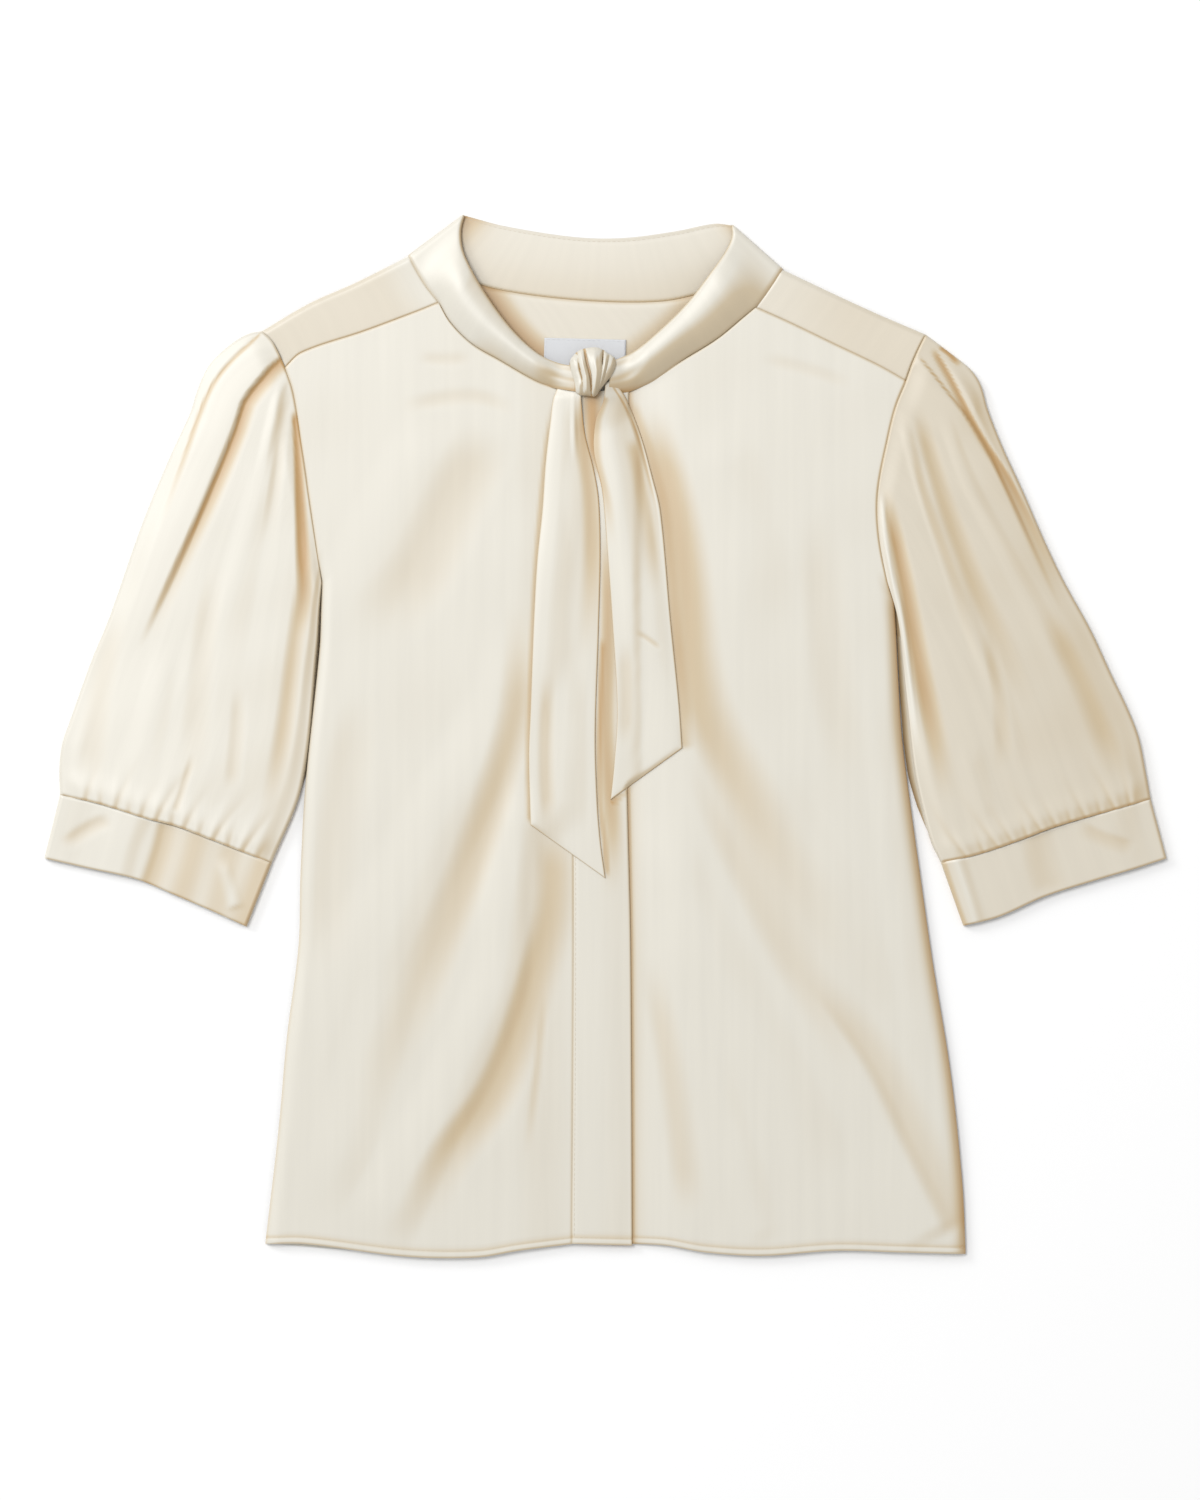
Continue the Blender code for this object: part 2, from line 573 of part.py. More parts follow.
def make_sleeve(name, armhole, outer, inner, cuff_seam, folds, gathers, outer_is_west):
    """Puffed sleeve: a flattened tube from the armhole to the cuff, with pleats and gathers."""
    cap = fold_stations(seam(armhole), both=True)
    hem = fold_stations(smooth(cuff_seam, even(len(cap) - 5)), both=True)
    outer_edge = smooth(outer, SLEEVE_ROWS)
    inner_edge = smooth(inner, SLEEVE_ROWS)
    fine = [0, 1]
    for k in range(2, len(cap) - 3):
        fine += [k + t / SLEEVE_FINE for t in range(SLEEVE_FINE)]
    fine += [len(cap) - 3, len(cap) - 2, len(cap) - 1]

    def refined(line):
        return [line[int(k)].lerp(line[min(int(k) + 1, len(line) - 1)], k - int(k)) for k in fine]

    if outer_is_west:
        grid = patch(refined(cap), refined(hem), outer_edge, inner_edge, "nse")
    else:
        grid = patch(refined(cap)[::-1], refined(hem)[::-1], inner_edge, outer_edge, "nsw")
        grid = [row[::-1] for row in grid]
    last = len(fine) - 1
    coarse = [i for i, k in enumerate(fine) if k == int(k)]
    rings = []
    for j, row in enumerate(grid):
        across = lengths(row)
        up = (1 - SLEEVE_ROWS[j]) * lengths(outer_edge)[-1]
        top = []
        for i, p in enumerate(row):
            if i in (0, last):
                height = FOLD_TOP[0][1]
            elif i in (1, last - 1):
                height = FOLD_TOP[1][1]
            else:
                near = min(across[i], across[-1] - across[i])
                calm = min(max((near - FOLD_TOP[2][0]) / RELIEF_RAMP, 0.0), 1.0)
                relief = fold_height(p.x, p.y, folds)
                for place, reach, lift in gathers:
                    fade = max(0.0, 1 - up / reach)
                    relief += lift * bump((across[i] / across[-1] - place) / GATHER_HALF_WIDTH) * fade
                cap_calm = min(1.0, CAP_RELIEF_START + SLEEVE_ROWS[j] * CAP_RELIEF_RISE)
                height = FOLD_HEIGHT + min(relief, RELIEF_MOST) * calm * cap_calm
            top.append((p.x, p.y, height))
        bottom = []
        for i in reversed(coarse[1:-1]):
            height = FOLD_BOTTOM[0][1] if i in (1, last - 1) else 0.0
            bottom.append((row[i].x, row[i].y, height))
        rings.append(top + bottom)
    cloth(name, [rings], WALL, probe=(0, 4), closed=True)


def make_cuff(name, cuff_seam, cuff_end, steps, outer_is_west):
    """Plain wide cuff, a flattened tube sewn to the sleeve."""
    upper = fold_stations(smooth(cuff_seam, even(steps)), both=True)
    lower = fold_stations(smooth(cuff_end, even(steps)), both=True)
    outer_edge = at_fractions([upper[0], lower[0]], CUFF_ROWS)
    inner_edge = at_fractions([upper[-1], lower[-1]], CUFF_ROWS)
    if outer_is_west:
        grid = patch(upper, lower, outer_edge, inner_edge, "n")
    else:
        grid = patch(upper[::-1], lower[::-1], inner_edge, outer_edge, "n")
        grid = [row[::-1] for row in grid]
    last = len(upper) - 1
    heights = {0: FOLD_TOP[0][1], last: FOLD_TOP[0][1], 1: FOLD_TOP[1][1], last - 1: FOLD_TOP[1][1]}
    rings = []
    for row in grid:
        across = lengths(row)
        top = []
        for i, p in enumerate(row):
            swell = CUFF_SWELL * bump(2 * across[i] / across[-1] - 1)
            top.append((p.x, p.y, heights.get(i, FOLD_HEIGHT + swell)))
        bottom = []
        for i in range(last - 1, 0, -1):
            bottom.append((row[i].x, row[i].y, FOLD_BOTTOM[0][1] if i in (1, last - 1) else 0.0))
        rings.append(top + bottom)
    cloth(name, [rings], WALL, probe=(0, 4), closed=True)


def make_neckband():
    """Standing band: flat round the back, folded at both shoulders, arched over the fronts."""
    def half(flap_neck, front_neck, free, to_knot):
        sewn_line = fold_stations(seam(flap_neck)) + front_neck
        run = lengths(sewn_line)
        fractions = [length / run[-1] for length in run]
        free_line = smooth(free, fractions)
        free_line[1:3] = fold_stations([free_line[0], free_line[3]], slant=BAND_CORNER_SLANT)[1:3]
        side = 1 if to_knot == "right" else -1
        moved = [p + m for p, m in zip(sewn_line, shift(sewn_line, SEAM_GAP / 2, side))]
        sections = []
        for k, (low, high) in enumerate(zip(moved, free_line)):
            t = fractions[k]
            open_up = eased(share_of(BAND_OPENS, t))
            near_knot = share_of(BAND_NARROWS, t)
            tuck = share_of(BAND_TUCKS, t)
            rise = BAND_RISE * open_up * (1 - NARROW_RISE_LOSS * near_knot)
            crown = BAND_CROWN * open_up * (1 - NARROW_CROWN_LOSS * near_knot)
            row = []
            for c in even(BAND_ACROSS):
                p = low.lerp(high, c)
                arch = rise * math.sin(c * math.pi / 2) + crown * math.sin(c * math.pi)
                height = FOLD_TOP[min(k, 2)][1] + arch
                row.append((p.x, p.y, height + (UNDER_KNOT_TOP - height) * tuck))
            sections.append(row)
        return sections

    neck_right = seam(FRONT_NECK_RIGHT)[1:-1] + [Vector(BAND_END_RIGHT)]
    neck_left = [Vector(BAND_END_LEFT)] + seam(FRONT_NECK_LEFT)[1:-1]
    right = half(FLAP_NECK_RIGHT, neck_right, BAND_FREE_RIGHT, "right")
    left = half(FLAP_NECK_LEFT, neck_left[::-1], BAND_FREE_LEFT, "left")
    sewn = seam(BACK_NECK)
    free = smooth(BAND_FREE_BACK, even(len(sewn) - 1))
    sewn = [p + m for p, m in zip(sewn, shift(sewn, SEAM_GAP / 2, 1))]
    back = []
    for low, high in list(zip(sewn, free))[1:-1]:
        back.append([(*low.lerp(high, c), 0.0) for c in even(BAND_ACROSS)])

    def turned(section, inset, height):
        """The section next to a shoulder fold, on the underside."""
        return [(x, y, height) for x, y, _ in section[inset]]

    under_right = [turned(right, 1, FOLD_BOTTOM[0][1]), turned(right, 2, FOLD_BOTTOM[1][1])]
    under_left = [turned(left, 2, FOLD_BOTTOM[1][1]), turned(left, 1, FOLD_BOTTOM[0][1])]
    rows = right[::-1] + under_right + back + under_left + left
    cloth("neckband", [rows], WALL, probe=(0, 2))


def make_tie(name, left_edge, right_edge, ridge):
    """One end of the neckband, hanging from the knot over the fronts."""
    west = smooth(left_edge, even(TIE_ROWS))
    east = smooth(right_edge, even(TIE_ROWS))
    probes = [(dx, dy) for dx in (-TIE_REACH[0], 0, TIE_REACH[0]) for dy in (-TIE_REACH[1], 0, TIE_REACH[1])]
    rows = []
    for j, (a, b) in enumerate(zip(west, east)):
        t = j / TIE_ROWS
        row = []
        for c in even(TIE_ACROSS):
            p = a.lerp(b, c)
            below = max(under_ties(p.x + dx, p.y + dy) for dx, dy in probes)
            roll = ridge * math.sin(c * math.pi) * (1 - TIE_RIDGE_LOSS * t)
            height = below + TIE_CLEARANCE + TIE_WALL + roll
            tuck = max(0.0, 1 - j / TIE_TUCK_ROWS)
            row.append((p.x, p.y, height + (UNDER_KNOT_TOP - height) * tuck))
        rows.append(row)
    cloth(name, [rows], TIE_WALL)


def make_knot():
    """Knot of the neckband: wrapped cloth in four strands that run down across it."""
    bpy.ops.mesh.primitive_uv_sphere_add(segments=KNOT_SEGMENTS, ring_count=KNOT_RINGS, radius=1.0)
    knot = bpy.context.object
    knot.name = "knot"
    floor = UNDER_KNOT_TOP + SEAM_GAP
    for vertex in knot.data.vertices:
        nx, ny, nz = vertex.co
        x = nx * KNOT_SIZE[0] / 2 * (1 + KNOT_TOP_SPREAD * ny)
        y = ny * KNOT_SIZE[1] / 2
        z = KNOT_CENTRE[2] + nz * KNOT_SIZE[2] / 2
        if nz > 0:
            for place, depth in KNOT_GROOVES:
                z -= depth * bump((x - place - GROOVE_LEAN * y) / GROOVE_HALF_WIDTH) * nz
        vertex.co = Vector((x + KNOT_CENTRE[0], y + KNOT_CENTRE[1], max(z, floor))) * MM
    knot.data.shade_smooth()
    knot.data.materials.append(satin)
    for collection in list(knot.users_collection):
        collection.objects.unlink(knot)
    blouse.objects.link(knot)


def make_label():
    """Blank woven label inside the back neck."""
    bpy.ops.mesh.primitive_cube_add(size=1.0)
    label = bpy.context.object
    label.name = "label"
    height = WALL + SEAM_GAP + LABEL_SIZE[2] / 2
    turn = math.radians(LABEL_TILT)
    for vertex in label.data.vertices:
        x, y, z = (vertex.co[k] * LABEL_SIZE[k] for k in range(3))
        place = (x * math.cos(turn) - y * math.sin(turn) + LABEL_CENTRE[0],
                 x * math.sin(turn) + y * math.cos(turn) + LABEL_CENTRE[1], z + height)
        vertex.co = Vector(place) * MM
    label.data.materials.append(woven)
    for collection in list(label.users_collection):
        collection.objects.unlink(label)
    blouse.objects.link(label)


for old in list(bpy.data.objects):
    bpy.data.objects.remove(old)
blouse = bpy.data.collections.new("blouse")
bpy.context.scene.collection.children.link(blouse)
satin = make_material("cream_satin", CREAM, SATIN_ROUGHNESS)
woven = make_material("label_weave", LABEL_GREY, LABEL_ROUGHNESS)

make_back()
make_yoke()
make_fronts()
make_placket()
make_sleeve("sleeve_right", ARMHOLE_RIGHT, SLEEVE_OUTER_RIGHT, SLEEVE_INNER_RIGHT, CUFF_SEAM_RIGHT,
            SLEEVE_RIGHT_FOLDS, SLEEVE_RIGHT_GATHERS, True)
make_sleeve("sleeve_left", ARMHOLE_LEFT, SLEEVE_OUTER_LEFT, SLEEVE_INNER_LEFT, CUFF_SEAM_LEFT,
            SLEEVE_LEFT_FOLDS, SLEEVE_LEFT_GATHERS, False)
make_cuff("cuff_right", CUFF_SEAM_RIGHT, CUFF_END_RIGHT, CUFF_STEPS, True)
make_cuff("cuff_left", CUFF_SEAM_LEFT, CUFF_END_LEFT, CUFF_STEPS, False)
make_neckband()
make_tie("tie_right", TIE_RIGHT_OUTER, TIE_RIGHT_INNER, TIE_RIDGE_RIGHT)
make_tie("tie_left", TIE_LEFT_INNER, TIE_LEFT_OUTER, TIE_RIDGE_LEFT)
make_knot()
make_label()
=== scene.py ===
"""Looks of the cream satin blouse: laid flat, seen from above, with its folds, seams and stitches."""
import math

import bpy
import numpy as np
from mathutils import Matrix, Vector


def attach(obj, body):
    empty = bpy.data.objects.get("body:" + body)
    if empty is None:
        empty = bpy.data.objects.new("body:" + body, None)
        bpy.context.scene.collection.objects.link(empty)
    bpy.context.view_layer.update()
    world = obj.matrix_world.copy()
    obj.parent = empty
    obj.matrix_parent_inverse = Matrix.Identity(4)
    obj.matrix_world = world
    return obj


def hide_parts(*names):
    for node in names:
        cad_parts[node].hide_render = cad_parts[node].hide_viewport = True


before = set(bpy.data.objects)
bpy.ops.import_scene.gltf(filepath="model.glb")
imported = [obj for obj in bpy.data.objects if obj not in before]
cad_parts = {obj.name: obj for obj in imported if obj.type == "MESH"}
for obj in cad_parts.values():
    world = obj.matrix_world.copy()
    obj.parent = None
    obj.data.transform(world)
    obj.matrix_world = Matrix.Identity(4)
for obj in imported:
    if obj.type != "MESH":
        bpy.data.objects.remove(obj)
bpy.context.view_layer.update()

MM = 0.001

# Camera above the blouse: its frame is 720 by 900 mm on the surface
CAMERA_PLACE = (-0.0033, -0.0081, 3.0)
CAMERA_LENS = 120.0
CAMERA_SENSOR = 36.0
FLOOR_Z = -0.0003

# Lights. Columns: name, place, size, energy
LIGHTS = (
    ("high_key", (-1.7, 1.45, 4.6), 2.0, 128),
    ("low_key", (-4.4, 3.2, 2.8), 1.8, 104),
)
WORLD_STRENGTH = 0.58

# Painted golden shade on cloth that slopes away from the upper left, and the strength of the fold tables' painted
# shade
TOWARDS_LIGHT = (-0.76, 0.65)
SLOPE_PAINTED_SHADE = 1.9
SLOPE_PAINTED_SHADE_MOST = 0.40
FOLD_PAINTED_SHADE = 0.7
FRONT_RELIEF = 0.5
SLEEVE_RELIEF = 0.55

# Heights in millimetres
TOP = 3.6
SIDE_TOP = 2.3
UNDERLAP_TOP = 2.6
PLACKET_TOP = 4.4
PLACKET_RAMP = 34.0
SEAM_DROP = 0.32
SEAM_WIDTH = 0.55
GATHER_SCALE = 0.15
GATHER_REACH = 0.55
TIE_THICK = 0.8
TIE_SHELL = 0.45
TIE_RELIEF = 0.6
KNOT_FLOOR = 7.9
STRAND_ROUND = 2.6
BAND_THICK = 0.6
HEM = 4.0

# Stitches, in millimetres
STITCH_PITCH = 3.0
STITCH_LENGTH = 2.2
STITCH_WIDE = 0.15
STITCH_HIGH = 0.11

# Seam curves in plan, in millimetres
ARMHOLE_RIGHT = (
    (-206, 243), (-200, 237), (-196, 230), (-192, 221), (-187, 206), (-182, 175), (-177, 140),
    (-170, 92))
ARMHOLE_LEFT = (
    (192, 241), (188, 233), (184, 224), (180, 213), (174, 198), (169, 178), (163, 146), (163.5, 121),
    (168.5, 94), (173, 81))
SHOULDER_RIGHT = ((-206, 243), (-177, 260), (-150, 272), (-118, 288))
SHOULDER_LEFT = ((106, 280), (142, 263), (164, 253), (192, 241))
YOKE_SEAM_RIGHT = ((-192, 221), (-182, 230), (-144, 243), (-112, 255), (-100, 260))
YOKE_SEAM_LEFT = ((90, 257), (110, 248), (137, 235), (164, 222), (180, 213))
FLAP_NECK_RIGHT = ((-118, 288), (-112, 277), (-107, 269), (-100, 260))
FLAP_NECK_LEFT = ((106, 280), (101, 272), (96, 265), (90, 257))
BACK_NECK = ((-118, 288), (-75, 271), (-46, 265), (-4, 261), (33, 261), (54, 265), (106, 280))
FRONT_NECK_RIGHT = (
    (-100, 260), (-93, 248), (-80, 235), (-63, 225), (-42, 213), (-31, 209), (-20, 206))
FRONT_NECK_LEFT = ((14, 208), (30, 215), (46, 225), (67, 238), (84, 252), (90, 257))
SIDE_RIGHT = (
    (-170, 92), (-170.5, 76), (-171.5, 52), (-180, -30), (-183, -86), (-184, -125), (-191, -180),
    (-196, -235), (-204, -304))
SIDE_LEFT = (
    (173, 81), (174, 66), (175.5, 35), (178, -3), (183, -42), (188, -78), (196, -134),
    (207, -202), (214, -268), (216, -310))
HEM_RIGHT = ((-204, -304), (-180, -304), (-119, -311.5), (-77, -312), (-52, -308), (-20, -304))
HEM_UNDERLAP = (
    (-15, -303), (18, -304), (37, -305), (60, -309), (94, -311), (138, -308), (177, -309), (216, -310))
HEM_BACK = ((-204, -304), (-120, -309), (-20, -301), (60, -307), (140, -307), (216, -310))
PLACKET_SEWN = ((-20, 206), (-20, 60), (-19, -98), (-20, -304))
PLACKET_FREE = ((14, 208), (12, 100), (13, -33), (15, -124), (16, -305))
UNDERLAP_EDGE = ((-15, 205), (-15, 60), (-14, -98), (-15, -303))

# Sleeve edges, from the shoulder or the underarm to the cuff
SLEEVE_OUTER_RIGHT = (
    (-206, 243), (-214, 241.5), (-225, 235), (-238, 222), (-245, 207), (-249, 194), (-261, 168),
    (-278, 127), (-298, 70), (-308, 46), (-322, 7), (-326, -5), (-327.5, -20), (-327, -35))
SLEEVE_INNER_RIGHT = ((-170, 92), (-171.5, 76), (-173, 52), (-182, -30), (-200, -76))
CUFF_SEAM_RIGHT = (
    (-327, -35), (-303, -40.5), (-274, -49.5), (-258, -53.5), (-237, -61.5), (-200, -76))
CUFF_END_RIGHT = (
    (-336.5, -73), (-310, -79), (-281, -85.5), (-258, -95), (-237, -104), (-215, -114))
SLEEVE_OUTER_LEFT = (
    (192, 241), (208, 229), (219, 220), (225, 211), (229, 197), (238, 174), (250, 148), (263, 118),
    (275, 93), (291, 64), (304, 36), (314, 15), (320, -1), (324, -21), (327, -37.5))
SLEEVE_INNER_LEFT = (
    (173, 81), (176, 66), (181, 16), (185, -20), (189.5, -42), (195, -63), (201, -75.5))
CUFF_SEAM_LEFT = ((327, -37.5), (308, -43), (270, -54), (246, -63), (222, -71), (201, -75.5))
CUFF_END_LEFT = ((336.5, -73), (318, -79), (291, -87), (263, -96), (236, -108), (214.5, -113.5))

# Neckband: free edges from the shoulder fold to the knot, and round the back
BAND_FREE_RIGHT = (
    (-85, 312.5), (-87, 303), (-86, 292), (-81, 280), (-71, 263), (-56, 243), (-41, 229),
    (-28, 223), (-17, 221.5))
BAND_FREE_LEFT = (
    (76, 306.5), (76, 299), (72, 290), (63, 277), (50, 260), (33, 243), (17, 230), (3, 224))
BAND_FREE_BACK = (
    (-85, 312.5), (-60, 306), (-18, 299.5), (11, 299), (42, 303), (65, 307.5), (76, 306.5))

# Ties: left and right edges from the knot to the slanted end
TIE_RIGHT_LEFT_EDGE = (
    (-28.5, 209.5), (-31.6, 201), (-33, 190), (-36, 164), (-38, 135), (-41, 106), (-43, 70), (-45, 15), (-46, -11),
    (-45, -53))
TIE_RIGHT_RIGHT_EDGE = (
    (-15, 208), (-14.5, 200), (-12, 180), (-7, 160), (-4, 142), (-3, 112), (-4, 67), (-6, 2), (-5, -37), (-3, -63),
    (0, -85))
TIE_LEFT_LEFT_EDGE = (
    (0, 211), (-1.5, 200), (-6, 189), (-7, 170), (-2, 147), (1, 112), (4, 70), (7, 15), (5, -18), (3, -38))
TIE_LEFT_RIGHT_EDGE = (
    (4, 214), (12, 203), (21, 181), (28, 156), (33, 135), (39, 70), (44, 21), (46, -7))

# Folds, all routes run down the picture. Columns: height (troughs below zero), width to the
# picture's left, width to its right, widening by the end, painted golden shade (painted light
# below zero), fade in, fade out, route
FRONT_RIGHT_FOLDS = (
    (-0.9, 22, 20, 1.2, 0.20, 0.2, 0.35, ((-66, 184), (-90, 136), (-111, 94), (-141, 58))),
    (0.7, 24, 24, 1.2, 0.0, 0.2, 0.3, ((-100, 190), (-124, 140), (-148, 90), (-160, 50))),
    (-0.25, 6, 7, 1.0, 0.16, 0.3, 0.3, ((-124, 197), (-80, 203), (-51, 195))),
    (-0.22, 4, 6, 1.0, 0.14, 0.3, 0.3, ((-113, 226), (-95, 225), (-78, 226))),
    (1.3, 26, 22, 1.3, 0.0, 0.15, 0.35, ((-50, 70), (-58, 20), (-76, -14), (-93, -44), (-123, -98), (-147, -140),
                                        (-177, -212))),
    (-1.1, 12, 10, 1.8, 0.45, 0.2, 0.5, ((-50, 84), (-52, 20), (-58, -10), (-71, -53), (-93, -112), (-117, -170),
                                        (-147, -230))),
    (1.7, 20, 15, 1.4, 0.0, 0.1, 0.1, ((-42, -26), (-55, -86), (-63, -149), (-91, -212), (-119, -267),
                                       (-138, -306))),
    (-1.5, 11, 17, 1.2, 0.60, 0.12, 0.35, ((-32, -50), (-33, -102), (-42, -141), (-57, -188), (-72, -219),
                                          (-98, -255), (-117, -300))),
    (-0.3, 3, 4, 1.2, 0.30, 0.3, 0.4, ((-36, -149), (-41, -200), (-47, -255))),
    (0.8, 20, 20, 1.1, 0.0, 0.25, 0.2, ((-110, -86), (-142, -196), (-172, -290))),
    (-0.6, 14, 16, 1.3, 0.10, 0.25, 0.3, ((-146, 30), (-160, -60), (-172, -150))),
    # Painted shadow along the right tie's left edge, with no fold
    (0.0, 3.2, 3, 1.0, 0.75, 0.1, 0.02, ((-31, 202), (-36, 164), (-41, 106), (-43, 70), (-45, 15), (-46, -11),
                                         (-45, -53))),
)
FRONT_LEFT_FOLDS = (
    # A trough with the painted cast shadow right of the left tie
    (-1.4, 9, 15, 2.2, 0.85, 0.12, 0.8, ((22, 200), (33, 166), (42, 130), (48, 84), (51, 46), (60, 8), (87, -44),
                                         (123, -110), (165, -176))),
    (0.8, 22, 24, 1.2, 0.0, 0.2, 0.4, ((62, 190), (82, 120), (92, 40))),
    (1.2, 16, 20, 1.3, 0.0, 0.2, 0.3, ((21, -44), (39, -80), (69, -140), (105, -206), (141, -266))),
    (-0.9, 12, 16, 1.3, 0.22, 0.3, 0.4, ((51, -8), (75, -62), (99, -110), (129, -164), (159, -212))),
    (1.0, 20, 24, 1.2, 0.0, 0.3, 0.3, ((69, 4), (99, -44), (135, -104), (171, -164))),
    (1.1, 24, 9, 1.4, 0.0, 0.3, 0.05, ((108, -140), (148, -192), (177, -250), (203, -300))),
    (-0.8, 7, 18, 1.3, 0.28, 0.3, 0.05, ((118, -140), (158, -192), (187, -250), (212, -300))),
    (-0.8, 8, 12, 1.3, 0.25, 0.3, 0.2, ((25, -130), (38, -200), (50, -290))),
    (0.5, 12, 12, 1.2, 0.0, 0.3, 0.1, ((60, -190), (80, -250), (94, -306))),
    (-0.5, 14, 16, 1.2, 0.10, 0.3, 0.3, ((128, 140), (134, 50), (150, -40))),
    (0.5, 10, 14, 1.0, 0.0, 0.3, 0.3, ((158, 60), (164, -20), (174, -100), (190, -200))),
    (-0.25, 5, 6, 1.0, 0.12, 0.3, 0.3, ((92, 226), (120, 220), (150, 210))),
    # Painted shadow along the left tie's right edge, with no fold
    (0.0, 3, 7, 1.3, 0.65, 0.05, 0.02, ((13, 203), (21, 181), (28, 156), (33, 135), (39, 70), (44, 21),
                                        (46, -9))),
)
SLEEVE_RIGHT_FOLDS = (
    (1.2, 10, 1.6, 2.5, 0.0, 0.04, 0.6, ((-207, 243), (-214, 237.5), (-227, 225), (-237, 211.5), (-244.5, 195),
                                         (-252, 174), (-271, 121))),
    (-0.6, 0.8, 2.0, 2.2, 0.95, 0.03, 0.6, ((-206, 242.7), (-212, 236.7), (-225.3, 224.1), (-235.5, 210.9),
                                            (-243.3, 194.1), (-250.5, 173.7), (-269, 121))),
    (2.2, 24, 2.0, 2.8, 0.0, 0.03, 0.3, ((-189, 231), (-199, 225), (-208.5, 214.5), (-218.5, 201.5),
                                         (-223, 187.5), (-233, 163), (-243, 139), (-256, 110), (-285, 48))),
    (-1.1, 1.3, 9.5, 1.0, 1.45, 0.01, 0.7, ((-186, 230.3), (-196.5, 224.7), (-206.1, 213.9), (-216.3, 200.7),
                                            (-220.5, 186.9), (-230.1, 162.9), (-240.3, 138.9), (-253.5, 110.1),
                                            (-280, 50))),
    (0.7, 4, 3, 1.6, 0.0, 0.2, 0.5, ((-190, 218), (-194.5, 207), (-200, 184), (-207, 150))),
    (-0.5, 3, 4, 1.8, 0.16, 0.2, 0.5, ((-188.5, 210), (-193, 190), (-198, 150), (-204, 110))),
    (0.5, 8, 9, 2.0, 0.0, 0.3, 0.4, ((-200, 178), (-212, 130), (-224, 80), (-234, 20))),
    (-1.0, 2.0, 2.6, 3.4, 1.7, 0.06, 0.45, ((-186.5, 196), (-184.2, 166), (-182.7, 136), (-181.3, 106),
                                           (-180.2, 82), (-181.5, 55))),
    (-0.6, 6, 7, 1.3, 0.50, 0.2, 0.4, ((-180, 100), (-183, 76), (-187, 46), (-193, 0), (-203, -55))),
    (-0.3, 7, 8, 1.6, 0.12, 0.3, 0.3, ((-232, 110), (-240, 60), (-246, 0), (-250, -30))),
    (0.5, 10, 10, 1.4, 0.0, 0.3, 0.3, ((-262, 60), (-274, 0), (-284, -36))),
    (-0.4, 9, 9, 1.3, 0.14, 0.3, 0.2, ((-290, 80), (-302, 30), (-310, -30))),
    (-0.3, 5, 6, 1.2, 0.16, 0.3, 0.2, ((-219, 31), (-221, 0), (-224, -34))),
    (-0.3, 3, 3, 1.0, 0.24, 0.4, 0.1, ((-246, -8), (-252, -28), (-258, -46))),
)
SLEEVE_LEFT_FOLDS = (
    (1.8, 20, 1.6, 2.4, 0.0, 0.03, 0.4,
     ((186, 229), (205, 204.5), (220.5, 184), (237.5, 151), (256, 110), (274, 71))),
    (-0.5, 0.7, 1.2, 1.8, 0.55, 0.03, 0.6,
     ((187, 228.5), (207, 203.5), (222, 183.5), (239, 150.5), (258, 109), (276, 69))),
    (-1.0, 3.8, 1.1, 1.8, 1.0, 0.05, 0.6,
     ((195.9, 233.7), (206.7, 215.7), (216.9, 196), (227, 178), (243, 153), (262, 114), (280, 74))),
    (1.0, 1.4, 6, 2.0, 0.0, 0.08, 0.5, ((198, 236), (210, 217), (221, 196), (232, 176), (248, 150), (266, 112))),
    (-0.6, 2.0, 2.5, 1.2, 1.3, 0.2, 0.4, ((199, 234), (206, 229), (213, 221))),
    (0.8, 4, 4, 2.0, 0.0, 0.15, 0.4, ((176, 198), (186, 159), (203, 109), (220, 62), (242, 8), (253, -31))),
    (-0.8, 5, 6, 2.0, 0.34, 0.15, 0.5, ((186, 200), (201, 148), (220, 95), (240, 50), (259, 4))),
    (0.7, 5, 5, 1.8, 0.0, 0.15, 0.4, ((200, 198), (218, 151), (242, 105), (265, 62), (284, 16))),
    (-1.1, 3.5, 6, 2.0, 0.95, 0.2, 0.4, ((166, 152), (171, 130), (179, 92), (186, 52), (192, 20), (198, -10),
                                         (205, -45))),
    (0.8, 2, 3, 1.3, -0.2, 0.1, 0.2, ((165.5, 150), (167, 120), (172, 94), (178, 66), (183, 20), (188, -14))),
    (-0.6, 3, 3.5, 2.0, 0.22, 0.2, 0.5, ((182, 176), (194, 136), (210, 90), (224, 40))),
    (-0.4, 5, 5, 1.4, 0.16, 0.3, 0.3, ((228, 66), (236, 24), (240, -23))),
    (-0.6, 9, 9, 1.4, 0.32, 0.3, 0.3, ((262, 80), (286, 34), (304, -10), (312, -30))),
    (0.5, 8, 10, 1.3, 0.0, 0.3, 0.3, ((214, 0), (222, -34), (228, -60))),
)
# Gathers above the cuff. Columns: place across from the outer edge, reach up, height, lean
GATHERS_RIGHT = (
    (0.10, 24, 1.3, 0.010), (0.17, 14, 1.0, -0.008), (0.24, 30, 1.5, 0.012), (0.30, 12, 0.9, 0.0),
    (0.36, 22, 1.4, 0.010), (0.43, 40, 1.6, 0.016), (0.50, 16, 1.1, -0.006), (0.56, 26, 1.4, 0.012),
    (0.63, 14, 1.0, 0.004), (0.70, 34, 1.5, 0.014), (0.77, 18, 1.1, -0.008), (0.84, 36, 1.5, 0.010),
    (0.91, 15, 0.9, 0.006))
GATHERS_LEFT = (
    (0.08, 22, 1.2, 0.008), (0.15, 32, 1.5, -0.012), (0.22, 15, 1.0, 0.006), (0.29, 26, 1.4, -0.010),
    (0.36, 13, 1.0, 0.004), (0.43, 20, 1.3, -0.008), (0.50, 30, 1.5, -0.014), (0.57, 15, 1.0, 0.006),
    (0.64, 24, 1.4, -0.010), (0.71, 36, 1.5, -0.014), (0.78, 18, 1.1, 0.006), (0.86, 40, 1.4, -0.012))
